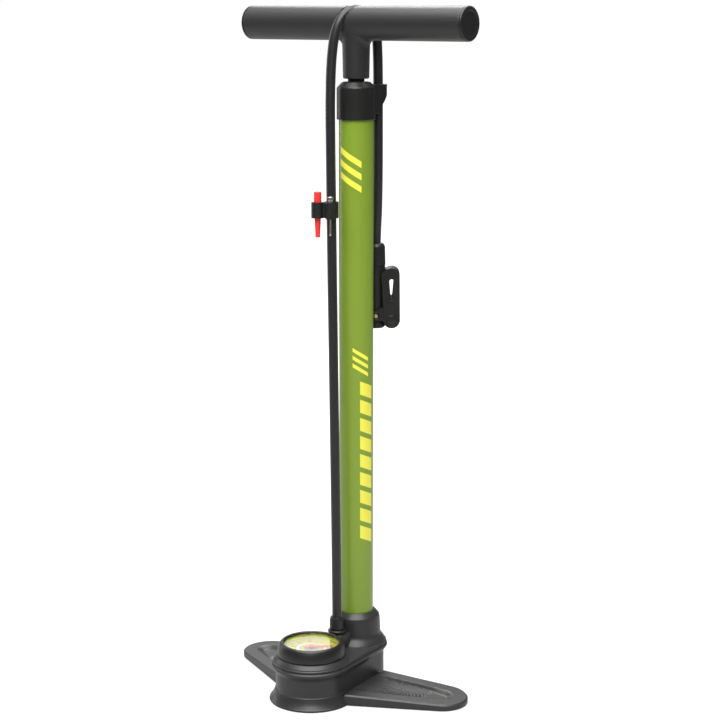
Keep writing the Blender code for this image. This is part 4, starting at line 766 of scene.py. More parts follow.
FINISHES = {
    "barrel_paint": barrel_paint,
    "foot_nylon": lambda: moulded("foot_nylon", colours().foot, 0.38, 700.0, 0.04 * MM, 0.3),
    "black_nylon": lambda: moulded("black_nylon", colours().black, 0.36, 900.0, 0.03 * MM, 0.3),
    "soft_grip": lambda: moulded(
        "soft_grip", colours().grip, 0.44, 800.0, 0.04 * MM, 0.2, Sheen_Weight=0.12, Sheen_Roughness=0.5
    ),
    "hose_rubber": hose_rubber,
    "seal_rubber": lambda: moulded("seal_rubber", (0.013, 0.013, 0.013), 0.62, 600.0, 0.05 * MM, 0.3),
    "rod_steel": lambda: machined("rod_steel", (0.62, 0.62, 0.63), 0.16),
    "nickel": lambda: machined("nickel", (0.70, 0.67, 0.62), 0.22, 900.0, 60.0),
    "turned_brass": lambda: machined("turned_brass", (0.82, 0.60, 0.26), 0.24, 900.0, 60.0),
    "acetal": lambda: moulded("acetal", (0.74, 0.73, 0.68), 0.4, 700.0, 0.02 * MM, 0.1),
    "dial_print": dial_print,
    "dial_ink": lambda: moulded("dial_ink", (0.02, 0.02, 0.02), 0.5, 1500.0, 0.004 * MM, 0.2),
    "lime_plastic": lambda: moulded("lime_plastic", colours().lime, 0.35, 700.0, 0.02 * MM, 0.12),
    "red_plastic": lambda: moulded(
        "red_plastic",
        colours().red,
        0.34,
        500.0,
        0.02 * MM,
        0.12,
        Subsurface_Weight=0.12,
        Subsurface_Scale=0.002,
    ),
    "clear_lens": clear_lens,
}


# --- Operators --------------------------------------------------------------------------------------------


class PUMP_OT_stage(bpy.types.Operator):
    """Floor, studio lights and camera"""

    bl_idname = "pump.stage"
    bl_label = "Stage"
    bl_options = {"REGISTER", "UNDO"}

    def execute(self, context):
        scene = context.scene
        scene.view_settings.view_transform = "Standard"
        self.floor()
        self.lights(scene)
        camera = bpy.data.objects.new("camera", bpy.data.cameras.new("camera"))
        scene.collection.objects.link(camera)
        camera.data.lens = 90.0
        camera.data.sensor_width = 36.0
        camera.location = CAMERA_PLACE
        camera.rotation_euler = (CAMERA_TILT, 0.0, CAMERA_TURN)
        scene.camera = camera
        return {"FINISHED"}

    def floor(self):
        """A flat sheet 24 m across, which the camera sees brighter than it lights the pump."""
        half = 12.0
        near, far = [[-half, -half, 0.0], [half, -half, 0.0]], [[-half, half, 0.0], [half, half, 0.0]]
        corners = np.array([near, far])
        mesh = surface("floor", corners, around=False)
        made, tree, shader = blank("studio_floor", colours().floor, 0.75, Specular_IOR_Level=0.2)
        marks = effect(tree, "grain", Grain=120.0, Patch=2.0, Patch_Strength=0.015)
        tree.links.new(tinted(tree, colours().floor, marks.outputs["Tone"]), shader.inputs["Base Color"])
        shader.inputs["Emission Color"].default_value = (1.0, 1.0, 1.0, 1.0)
        seen = node(tree, "ShaderNodeLightPath").outputs["Is Camera Ray"]
        place = node(tree, "ShaderNodeTexCoord").outputs["Object"]
        away = node(tree, "ShaderNodeVectorMath", {"operation": "LENGTH"}, i0=place).outputs["Value"]
        reach = {"From_Min": 0.25, "From_Max": 1.6, "To_Min": 0.5, "To_Max": 1.1}
        glow = node(tree, "ShaderNodeMapRange", Value=away, **reach)
        tree.links.new(maths(tree, "MULTIPLY", seen, glow.outputs[0]), shader.inputs["Emission Strength"])
        mesh.materials.append(made)
        floor = bpy.data.objects.new("floor", mesh)
        bpy.context.scene.collection.objects.link(floor)

    def lights(self, scene):
        """A broad light above, one at each side, one behind for the lens, and an even pale surround."""
        for name, place, aim, width, height, power in LIGHTS:
            data = bpy.data.lights.new(name, "AREA")
            data.shape = "RECTANGLE"
            data.size, data.size_y, data.energy = width, height, power
            light = bpy.data.objects.new(name, data)
            light.location = place
            light.rotation_euler = (Vector(aim) - Vector(place)).to_track_quat("-Z", "Y").to_euler()
            light.visible_camera = False
            scene.collection.objects.link(light)
        scene.world = bpy.data.worlds.new("studio")
        scene.world.use_nodes = True
        tree = scene.world.node_tree
        ground = tree.nodes["Background"]
        ground.inputs["Color"].default_value = (1.0, 1.0, 1.0, 1.0)
        seen = node(tree, "ShaderNodeLightPath").outputs["Is Camera Ray"]
        tree.links.new(maths(tree, "MULTIPLY_ADD", seen, 0.9, 0.12), ground.inputs["Strength"])


class PUMP_OT_hose(bpy.types.Operator):
    """The rubber hose, one tube from its nut over the handle to the valve head"""

    bl_idname = "pump.hose"
    bl_label = "Hose"
    bl_options = {"REGISTER", "UNDO"}

    carried_nodes = (
        "hose_ferrule",
        "head_body",
        "head_nose_cap",
        "head_gasket",
        "lever_pin",
        "head_lever",
        "hose_clip",
        "cone_adapter",
        "ball_needle",
    )

    def execute(self, context):
        path = smooth_route(HOSE_ROUTE, 520)
        mesh = tube("hose_tube", path, sizes().hose_radius)
        hose = piece("hose_tube", mesh, finish("hose_rubber"), None, ["hose"])
        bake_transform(hose)
        return {"FINISHED"}


class PUMP_OT_foot(bpy.types.Operator):
    """The moulded foot: gauge pot, barrel block, lip, skirt, collar, boss and two wings, and its rubber
    pads"""

    bl_idname = "pump.foot"
    bl_label = "Foot"
    bl_options = {"REGISTER", "UNDO"}

    def execute(self, context):
        rounds = [self.block(), self.skirt(), self.shoulder(), self.collar(), self.boss()]
        mesh = united("foot_moulding", *rounds, self.wing(1), self.wing(-1))
        nylon = finish("foot_nylon")
        piece("foot_moulding", mesh, nylon, "base", ["base_casting"], math.radians(40))
        for name in ("foot_pad_rear", "foot_pad_front", "foot_pad_left", "foot_pad_right"):
            self.pad(name)
        return {"FINISHED"}

    def block(self):
        """The wall round pot and barrel block with its stepped lip: one outline carried round their band."""
        outline = [
            (0, 0.0, 42.3), (1, 1.9, 42.3), (1, 2.9, 41.4), (1, 2.9, 40.7), (1, 2.1, 39.7), (1, 2.1, 39.0),
            (1, 3.8, 37.7), (1, 3.8, 36.0), (1, 0.2, 30.8), (1, 0.0, 29.5), (1, 0.0, 0.5), (0, 0.0, 0.5),
        ]
        rounding = np.array([0, 0.3, 0.3, 0.3, 0.3, 0.3, 0.4, 0.6, 0.8, 0.6, 0, 0]) * MM
        section = softened(np.array(outline) * (1, MM, MM), rounding)
        return carried("foot_block", band(BLOCK, POT, 220), section)

    def skirt(self):
        """The flare round the pot's foot, an outline of radius and height turned about the gauge's axis."""
        outline = [
            (0, 13.2), (36.6, 13.2), (37.4, 12.5), (37.7, 11.4), (39.5, 6.8),
            (42.4, 2.8), (43.2, 2.1), (43.3, 0.8), (42.7, 0.2), (0, 0.2),
        ]
        rounding = np.array([0, 0.2, 0.3, 1.0, 3.0, 1.2, 0.4, 0.5, 0.3, 0]) * MM
        return lathe("foot_skirt", softened(np.array(outline) * MM, rounding), GAUGE_PLACE, 160)

    def shoulder(self):
        """The bevelled ring on the pot under the bezel, turned about the gauge's axis."""
        outline = [(30.2, 46.9), (34.6, 46.9), (35.4, 46.5), (38.7, 43.0), (38.7, 41.5), (30.2, 41.5)]
        section = softened(np.array(outline) * MM, np.array([0.2, 0.3, 0.4, 0.5, 0, 0]) * MM, True)
        return lathe("foot_shoulder", section, GAUGE_PLACE, 140, closed=True)

    def collar(self):
        """The collar round the barrel: bevelled on top, with a foot that sweeps out onto the block."""
        outline = [
            (17.9, 75.0), (19.4, 75.1), (24.0, 69.7), (24.7, 66.0), (25.3, 50.0),
            (28.6, 45.6), (31.4, 41.6), (28.0, 38.0), (17.9, 38.0),
        ]
        rounding = np.array([0.4, 0.5, 0.5, 2.0, 4.0, 2.0, 1.5, 0, 0]) * MM
        section = softened(np.array(outline) * MM, rounding, True)
        return lathe("foot_collar", section, steps=128, closed=True)

    def boss(self):
        """The boss under the hose's fitting, an outline carried round a band from collar to fitting."""
        outline = [(0, 0.0, 57.0), (1, -1.3, 57.0), (1, 0.0, 55.6), (1, 0.5, 41.0), (0, 0.0, 41.0)]
        section = softened(np.array(outline) * (1, MM, MM), np.array([0, 0.5, 0.6, 0, 0]) * MM)
        rear, front = (0, -14 * MM, 10.2 * MM), (*FITTING_PLACE, 10 * MM)
        return carried("foot_boss", band(rear, front, 90), section)

    def pad(self, name):
        """A rubber disc under the foot, in its CAD node's box."""
        low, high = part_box(name)
        middle, radius = (low + high) / 2, (high.x - low.x) / 2
        outline = [(0, low.z), (radius, low.z), (radius, high.z), (0, high.z)]
        mesh = lathe(name, softened(outline, np.array([0, 0.5, 0.2, 0]) * MM), middle[:2], 64)
        piece(name + "_disc", mesh, finish("seal_rubber"), "base", [name])

    def wing(self, side):
        """One wing. Its top is a plane that falls towards the tip, less the tread's channel and a step
        round the block, plus ridges that are the cosine of a warped distance from a point beside it, with a
        chamfered rim."""
        root, tip = (25 * MM, -38 * MM, 41 * MM), (114 * MM, -8 * MM, 27 * MM)
        centre, outward, radius = band(root, tip, 420)
        share = np.concatenate([np.linspace(0.0, 0.72, 40), 1 - np.geomspace(0.275, 0.004, 24), [1.0]])
        flat = centre[None] + outward[None] * (share[:, None] * radius[None])[..., None]
        x, y = flat[..., 0], flat[..., 1]
        inside = (1 - share[:, None]) * radius[None]
        root_height, tip_height = 12.8 * MM, 6.6 * MM
        fall = (root_height - tip_height) / (tip[0] + tip[2] - root[0])
        plane = root_height - fall * (x - root[0])
        border = sizes().wing_border
        sweep = (1.5 + 6.5 * smoothstep(x, 92 * MM, 116 * MM)) * MM
        channel = smoothstep(inside, border - 0.8 * MM, border + sweep)
        moat = 1 - smoothstep(band_distance(x, y, BLOCK, POT), 2.4 * MM, 4.6 * MM)
        drop = sizes().channel_depth * np.maximum(channel, moat)
        warp = 2.0 * MM * np.sin((x - 1.4 * y) / (11 * MM)) + 1.2 * MM * np.sin((x + 2.2 * y) / (17 * MM))
        far = np.hypot(x - 30 * MM, y + 75 * MM) + warp
        ridge = 0.5 + 0.5 * np.cos(2 * math.pi * far / sizes().tread_pitch)
        tread = smoothstep(inside, border + 1.6 * MM, border + 2.8 * MM)
        tread = tread * (1 - smoothstep(x, 96 * MM, 104 * MM))
        chamfer = np.clip(1.3 * MM - inside, 0.0, 1.3 * MM)
        top = plane - drop + sizes().tread_height * ridge * tread - chamfer
        crown = np.concatenate([flat, top[..., None]], -1)
        edge = crown[-1]
        levels = np.array([1.0, 0.66, 0.33, 0.12, 0.0])[:, None]
        tuck = np.array([0.0, 0.0, 0.0, 0.1, 0.6])[:, None] * MM
        wall_height = FLOOR_GAP + (edge[None, :, 2] - FLOOR_GAP) * levels
        wall_flat = edge[None, :, :2] - outward[None] * (tuck + 0 * wall_height)[..., None]
        wall = np.concatenate([wall_flat, wall_height[..., None]], -1)[1:]
        under = np.concatenate([centre, np.full((len(centre), 1), FLOOR_GAP)], -1)[None]
        grid = np.concatenate([crown, wall, under])
        grid[..., 0] *= side
        return welded(surface("foot_wing", grid))


class PUMP_OT_barrel(bpy.types.Operator):
    """The painted steel barrel"""

    bl_idname = "pump.barrel"
    bl_label = "Barrel"
    bl_options = {"REGISTER", "UNDO"}

    def execute(self, context):
        low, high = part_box("barrel_tube")
        outer, inner = BARREL_RADIUS, BARREL_RADIUS - 1.5 * MM
        section = [(inner, low.z), (outer, low.z), (outer, high.z), (inner, high.z)]
        mesh = lathe("barrel", softened(section, 0.3 * MM, True), steps=128, closed=True)
        piece("barrel", mesh, finish("barrel_paint"), "base", ["barrel_tube"])
        return {"FINISHED"}


class PUMP_OT_cap(bpy.types.Operator):
    """The cap over the barrel's top with its open hose hook"""

    bl_idname = "pump.cap"
    bl_label = "Top cap"
    bl_options = {"REGISTER", "UNDO"}

    def execute(self, context):
        top, bottom = CAP_TOP, CAP_BOTTOM
        ceiling = top - 11.7 * MM
        section = [
            (8.3 * MM, top), (13.9 * MM, top), (19.3 * MM, top - 5.3 * MM), (19.6 * MM, top - 6.4 * MM),
            (19.6 * MM, bottom), (17.8 * MM, bottom), (17.8 * MM, ceiling), (8.3 * MM, ceiling),
        ]
        radii = np.array([0.3, 1.0, 0.7, 0.6, 1.0, 0.3, 0.3, 0.3]) * MM
        cap = lathe("cap_shell", softened(section, radii, True), steps=120, closed=True)
        centre, away = (8.9 * MM, 24.9 * MM), 70.33
        hook_top, hook_low = top - 3.0 * MM, top - 31.5 * MM
        out = np.array([math.cos(math.radians(away)), math.sin(math.radians(away))])
        edge_at = np.array(centre) + out * 8.1 * MM
        rise = math.tan(math.radians(52.0))

        def lower_edge(flat):
            """The hook's lower edge climbs away from the cap."""
            slope = hook_top - 9.2 * MM + rise * ((flat - edge_at) @ out)
            return np.clip(slope, hook_low, hook_top - 2.5 * MM)

        ring_path = arc_path(centre, 7.5 * MM, away + 38 + 30, away + 38 + 330, 72)
        hook = strip("cap_hook", ring_path, 1.55 * MM, lower_edge, hook_top, 0.5 * MM)
        root_angle, end_angle = math.radians(away - 42), math.radians(away - 62)
        root = 17.6 * MM * np.array([math.cos(root_angle), math.sin(root_angle)])
        end = np.array(centre) + 7.5 * MM * np.array([math.cos(end_angle), math.sin(end_angle)])
        arm_path = root + (end - root) * np.linspace(0, 1, 12)[:, None]
        arm = strip("cap_arm", arm_path, 1.55 * MM, lower_edge, hook_top, 0.5 * MM)
        mesh = united("top_cap_moulding", cap, hook, arm)
        piece("top_cap_moulding", mesh, finish("black_nylon"), "base", ["top_cap"])
        return {"FINISHED"}


class PUMP_OT_handle(bpy.types.Operator):
    """The T handle with the hose's groove, its end caps, the rod and the bumper"""

    bl_idname = "pump.handle"
    bl_label = "Handle and rod"
    bl_options = {"REGISTER", "UNDO"}

    def execute(self, context):
        low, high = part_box("handle_bar")
        half = (high.x - low.x) / 2
        mesh = united("handle_grip", self.bar(half), self.neck())
        grip = finish("soft_grip")
        piece("handle_grip", mesh, grip, "handle", ["handle_bar"], math.radians(40))
        for name, side in (("handle_end_cap_left", -1), ("handle_end_cap_right", 1)):
            self.end_cap(name, side, half)
        self.rod()
        return {"FINISHED"}

    def bar(self, half):
        """The bar round the X axis. Its radius is the handle's, but where the ray from the axis meets the
        hose's tube first it stops there, which leaves the groove."""
        hose = smooth_route(HOSE_ROUTE, 520)
        hose = hose[hose[:, 2] > HANDLE_AXIS - 24 * MM]
        room = sizes().hose_radius + sizes().groove_room
        ends = np.array([half - 1.2 * MM, half - 0.5 * MM, half - 0.12 * MM, half])
        reach = np.array([17.0, 16.85, 16.5, 15.9]) * MM
        rough_x = np.linspace(26 * MM, ends[0], 22)[:-1]
        fine_x = np.linspace(-26 * MM, 26 * MM, 118)
        x = np.concatenate([-ends[::-1], -rough_x[::-1], fine_x[1:-1], rough_x, ends])
        full = np.concatenate([reach[::-1], np.full(len(x) - 8, HANDLE_RADIUS), reach])
        angle = np.linspace(0.0, 2 * math.pi, 150, endpoint=False)
        radius = np.repeat(full[:, None], len(angle), 1)
        near = np.abs(x) < 26 * MM
        depth = np.linspace(4 * MM, HANDLE_RADIUS, 40)
        across, up = np.cos(angle), np.sin(angle)
        nx, ny, nz = np.meshgrid(x[near], angle, depth, indexing="ij")
        ray = np.stack([nx, np.cos(ny) * nz, HANDLE_AXIS + np.sin(ny) * nz], -1)
        gap = np.full(ray.shape[:3], 1.0)
        for point in hose[::3]:
            gap = np.minimum(gap, np.linalg.norm(ray - point, axis=-1))
        clear = gap - room
        blocked = clear < 0
        first = np.argmax(blocked, axis=-1)
        rows, columns = np.indices(first.shape)
        before = np.maximum(first - 1, 0)
        a, b = clear[rows, columns, before], clear[rows, columns, first]
        part = np.where(first > 0, a / np.maximum(a - b, 1e-9), 0.0)
        stop = depth[before] + np.clip(part, 0, 1) * (depth[first] - depth[before])
        radius[near] = np.where(blocked.any(-1), stop, radius[near])
        grid = np.stack(
            [x[:, None] + 0 * angle, radius * across[None], HANDLE_AXIS + radius * up[None]], -1
        )
        tips = np.zeros((1, len(angle), 3))
        left, right = tips + (x[0], 0, HANDLE_AXIS), tips + (x[-1], 0, HANDLE_AXIS)
        return welded(surface("handle_bar_skin", np.concatenate([left, grid, right])))

    def neck(self):
        """The neck round the Z axis. From a ring below the bar it swings out onto the bar along a quadratic
        curve steered by the point where neck and bar would meet, further out along the bar than across
        it."""
        angle = np.linspace(0.0, 2 * math.pi, 120, endpoint=False)
        bottom, base_radius, top_radius = 626.7 * MM, 13.2 * MM, 13.8 * MM
        along = np.abs(np.cos(angle))

        def bar_height(radius):
            return HANDLE_AXIS - np.sqrt(np.maximum(HANDLE_RADIUS**2 - (radius * np.sin(angle)) ** 2, 1e-8))

        swing = (2.2 + 6.3 * along**1.5) * MM
        meet = bar_height(top_radius)
        end_radius = top_radius + swing * (0.25 + 0.75 * along)
        end_radius = np.minimum(end_radius, 0.985 * HANDLE_RADIUS / np.maximum(np.abs(np.sin(angle)), 0.3))
        end = bar_height(end_radius) + 0.25 * MM
        start = meet - swing * 1.25
        low = softened(np.array([(0, 0), (12.4, 0), (13.2, 1.2)]) * MM, [0, 0.6 * MM, 0])
        level = 0 * angle
        rows = [np.stack([r + level, bottom + h + level], -1) for r, h in low]
        t = np.linspace(0.0, 1.0, 7)[1:, None]
        wall_low = bottom + 1.2 * MM
        widening = top_radius - base_radius
        rows += [
            np.stack([base_radius + widening * k + level, wall_low + (start - wall_low) * k], -1)
            for k in t[:, 0]
        ]
        s = np.linspace(0.0, 1.0, 14)[1:]
        rows += [
            np.stack(
                [
                    (1 - k) ** 2 * top_radius + 2 * k * (1 - k) * top_radius + k**2 * end_radius,
                    (1 - k) ** 2 * start + 2 * k * (1 - k) * meet + k**2 * end,
                ],
                -1,
            )
            for k in s
        ]
        rows.append(np.stack([level, HANDLE_AXIS - 6 * MM + level], -1))
        profile = np.stack(rows)
        grid = np.stack(
            [profile[..., 0] * np.cos(angle), profile[..., 0] * np.sin(angle), profile[..., 1]], -1
        )
        return welded(surface("handle_neck", grid))

    def end_cap(self, name, side, half):
        """A disc with a thin raised rim and a shallow dished middle."""
        face = half + 2.9 * MM
        outline = [
            (0, -0.9), (11.6, -0.9), (12.6, -0.5), (13.3, 0.0), (15.6, 0.0),
            (16.9, -1.1), (17.0, -2.6), (12.7, -2.6), (12.7, -11.6), (0, -11.6),
        ]
        rounding = np.array([0, 0.8, 0.5, 0.3, 0.7, 0.5, 0.2, 0, 0.3, 0]) * MM
        section = softened(np.array(outline) * MM + (0, face), rounding)
        mesh = sideways(lathe(name, section, steps=110), HANDLE_AXIS)
        if side < 0:
            mesh.transform(Matrix.Rotation(math.pi, 4, "Z"))
        piece(name + "_disc", mesh, finish("black_nylon"), "handle", [name])

    def rod(self):
        """The rod, thinner where it passes through the piston, and the bumper ring under the neck."""
        low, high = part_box("piston_rod")
        radius, stud, step = 6 * MM, 3.7 * MM, 68.6 * MM
        outline = [(0, low.z), (stud, low.z), (stud, step), (radius, step), (radius, high.z), (0, high.z)]
        shaft = lathe("rod_shaft", softened(outline, 0.3 * MM), steps=64)
        piece("rod_shaft", shaft, finish("rod_steel"), "handle", ["piston_rod"])
        low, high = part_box("rod_bumper")
        inner, outer = 6.2 * MM, 8.3 * MM
        pad = softened([(inner, low.z), (outer, low.z), (outer, high.z), (inner, high.z)], 0.5 * MM, True)
        ring = lathe("bumper_ring", pad, steps=64, closed=True)
        piece("bumper_ring", ring, finish("seal_rubber"), "handle", ["rod_bumper"])


class PUMP_OT_gauge(bpy.types.Operator):
    """The gauge: bezel, lens, lime ring, printed dial with its numbers, and the red needle"""

    bl_idname = "pump.gauge"
    bl_label = "Gauge"
    bl_options = {"REGISTER", "UNDO"}

    def execute(self, context):
        low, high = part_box("gauge_bezel")
        bottom, top = low.z + 4.4 * MM, high.z
        tall, wide = top - bottom, 34.9 - 30.4
        shape = (
            (0.0, 1.0), (0.34, 0.93), (0.62, 0.76), (0.88, 0.5),
            (1.0, 0.24), (0.98, 0.12), (0.93, 0.05), (0.8, 0.0),
        )
        outer = [((30.4 + wide * a) * MM, bottom + tall * b) for a, b in shape]
        inner = [
            (29.8 * MM, bottom), (29.8 * MM, 58.8 * MM), (28.0 * MM, 58.8 * MM), (28.0 * MM, top - 0.9 * MM),
            (28.9 * MM, top - 0.1 * MM),
        ]
        radii = np.array([0.7, 1.6, 2.5, 2.5, 1.6, 0.5, 0.6, 0.4, 0.1, 0.2, 0.2, 0.6, 0.5]) * MM
        ring = lathe("bezel", softened(outer + inner, radii, True, 6), GAUGE_PLACE, 140, closed=True)
        piece("bezel", ring, finish("black_nylon"), "base", ["gauge_bezel"])
        self.glass()
        section = np.array([(27.1, 52.4), (29.5, 52.4), (29.5, 56.4), (28.2, 56.4)]) * MM
        ring = lathe("lime_ring", softened(section, 0.3 * MM, True), GAUGE_PLACE, 120, closed=True)
        piece("lime_ring", ring, finish("lime_plastic"), "base", ["dial_ring"])
        section = np.array([(1.3, 51.3), (29.5, 51.3), (29.5, 52.1), (1.3, 52.1)]) * MM
        plate = lathe("dial_plate", softened(section, 0.1 * MM, True), GAUGE_PLACE, 120, closed=True)
        piece("dial_plate", plate, finish("dial_print"), "base", ["gauge_dial"])
        self.numbers()
        self.needle()
        return {"FINISHED"}

    def glass(self):
        """The lens: a flat underside and a top that bulges by the square of the distance from its middle."""
        low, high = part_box("gauge_lens")
        radius, edge = 29.5 * MM, high.z - 0.12 * MM
        r = np.linspace(0.0, 27.8 * MM, 12)
        crown = np.stack([r, high.z - 0.1 * MM + 0.12 * MM * (1 - (r / (27.8 * MM)) ** 2)], -1)
        rest = np.array([(28.0 * MM, edge), (radius, edge), (radius, low.z), (0.0, low.z)])
        mesh = lathe("lens", np.concatenate([crown, rest]), GAUGE_PLACE, 120)
        piece("lens", mesh, finish("clear_lens"), "base", ["gauge_lens"])

    def numbers(self):
        """Numbers round the dial, upright to someone who stands with a foot on each wing."""
        meshes = []
        for count, radius, tall, step in ((9, 19.6, 3.9, 20), (6, 9.9, 2.6, 2)):
            for k in range(count):
                data = bpy.data.curves.new("number", "FONT")
                data.body = str(k * step)
                data.size = tall * MM
                data.align_x, data.align_y = "CENTER", "CENTER"
                data.extrude = 0.03 * MM
                data.resolution_u = 2
                text = bpy.data.objects.new("number", data)
                bpy.context.scene.collection.objects.link(text)
                bpy.context.view_layer.update()
                finished = text.evaluated_get(bpy.context.evaluated_depsgraph_get())
                mesh = bpy.data.meshes.new_from_object(finished)
                angle = NEEDLE_ZERO - DIAL_SWEEP * k / (count - 1)
                x = GAUGE_PLACE[0] + radius * MM * math.cos(angle)
                y = GAUGE_PLACE[1] + radius * MM * math.sin(angle)
                place = Matrix.Translation((x, y, 52.14 * MM))
                mesh.transform(place @ Matrix.Rotation(math.pi, 4, "Z"))
                meshes.append(welded(mesh))
                bpy.data.objects.remove(text)
        piece("dial_numbers", united("dial_numbers", *meshes), finish("dial_ink"), "base")

    def needle(self):
        """A tapered pointer with a tail, and a domed hub."""
        along = np.linspace(-8.0, 21.5, 30)
        half = np.interp(along, [-8, -7, 0, 18, 21.5], [0.7, 1.1, 1.7, 0.8, 0.15]) * MM
        heading = np.array([math.cos(NEEDLE_ZERO), math.sin(NEEDLE_ZERO)])
        path = np.array(GAUGE_PLACE) + along[:, None] * MM * heading
        pointer = strip("pointer", path, half, 53.6 * MM, 54.3 * MM, 0.1 * MM)
        r = np.linspace(0.0, 3.3, 10)
        dome = np.stack([r * MM, (54.9 - 0.5 * (r / 3.3) ** 2) * MM], -1)
        hub = np.concatenate([dome, np.array([(3.4, 54.0), (3.3, 53.2), (0.0, 53.2)]) * MM])
        mesh = united("pointer_and_hub", pointer, lathe("hub", hub, GAUGE_PLACE, 48))
        piece("pointer_and_hub", mesh, finish("red_plastic"), "needle", ["gauge_needle"])


class PUMP_OT_fitting(bpy.types.Operator):
    """The hose's nipple and nut on the foot"""

    bl_idname = "pump.fitting"
    bl_label = "Hose fitting"
    bl_options = {"REGISTER", "UNDO"}

    def execute(self, context):
        outline = [
            (0, 61.6), (8.5, 61.6), (9.3, 60.8), (9.3, 59.4),
            (8.9, 58.6), (3.3, 58.6), (3.3, 44.0), (0, 44.0),
        ]
        nipple = lathe("nipple", softened(np.array(outline) * MM, 0.35 * MM), FITTING_PLACE, 64)
        piece("nipple", nipple, finish("black_nylon"), "base", ["hose_nipple"])
        angle = np.linspace(0.0, 2 * math.pi, 144, endpoint=False)
        flute = 1 - 0.022 * smoothstep(np.abs(np.sin(6 * angle)), 0.0, 0.75)
        section = np.array(
            [(5.3, 62.0), (7.0, 61.95), (7.5, 62.6), (7.5, 71.6), (7.1, 73.6), (6.7, 75.2), (5.4, 75.3)]
        )
        section = softened(section * MM, np.array([0.1, 0.3, 0.4, 0.8, 0.8, 0.4, 0.2]) * MM, True)
        lobed = smoothstep(section[:, 0], 6.6 * MM, 7.3 * MM)[:, None]
        radius = section[:, :1] * (1 - lobed * (1 - flute[None]))
        grid = np.stack(
            [
                FITTING_PLACE[0] + radius * np.cos(angle),
                FITTING_PLACE[1] + radius * np.sin(angle),
                section[:, 1:] + 0 * angle,
            ],
            -1,
        )
        mesh = welded(surface("hose_nut_fluted", grid, along=True))
        piece("hose_nut_fluted", mesh, finish("black_nylon"), "base", ["hose_nut"])
        return {"FINISHED"}


class PUMP_OT_clip(bpy.types.Operator):
    """The clip on the hose, with the red cone and the ball needle that it carries"""

    bl_idname = "pump.clip"
    bl_label = "Clip and adapters"
    bl_options = {"REGISTER", "UNDO"}

    def execute(self, context):
        mesh = refined("hose_clip", 0.35 * MM)
        piece("clip", mesh, finish("black_nylon"), "base", ["hose_clip"])
        low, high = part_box("cone_adapter")
        middle, top, tip = (low + high) / 2, high.z / MM, low.z / MM
        outline = [
            (2.2, top), (3.5, top), (3.75, top - 0.6), (3.8, top - 12.0), (3.55, top - 19.0),
            (2.45, tip + 4.0), (2.3, tip + 3.0), (2.5, tip + 1.4), (2.35, tip), (1.3, tip),
            (1.3, tip + 6.0), (2.2, top - 14.0),
        ]
        section = softened(np.array(outline) * MM, 0.4 * MM, True)
        cone = lathe("cone", section, middle[:2], 56, closed=True)
        piece("cone", cone, finish("red_plastic"), "cone", ["cone_adapter"])
        low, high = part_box("ball_needle")
        middle, top, tip = (low + high) / 2, high.z / MM, low.z / MM
        outline = [
            (0, top), (2.6, top), (3.1, top - 0.6), (3.1, top - 3.4), (2.6, top - 4.0), (2.6, top - 8.0),
            (3.0, top - 8.6), (3.0, top - 12.0), (2.0, top - 14.0), (1.0, top - 16.5), (0.95, tip + 2.0),
            (0.7, tip + 0.5), (0, tip),
        ]
        needle = lathe("inflation_needle", softened(np.array(outline) * MM, 0.3 * MM), middle[:2], 48)
        piece("inflation_needle", needle, finish("nickel"), "ball_adapter", ["ball_needle"])
        return {"FINISHED"}


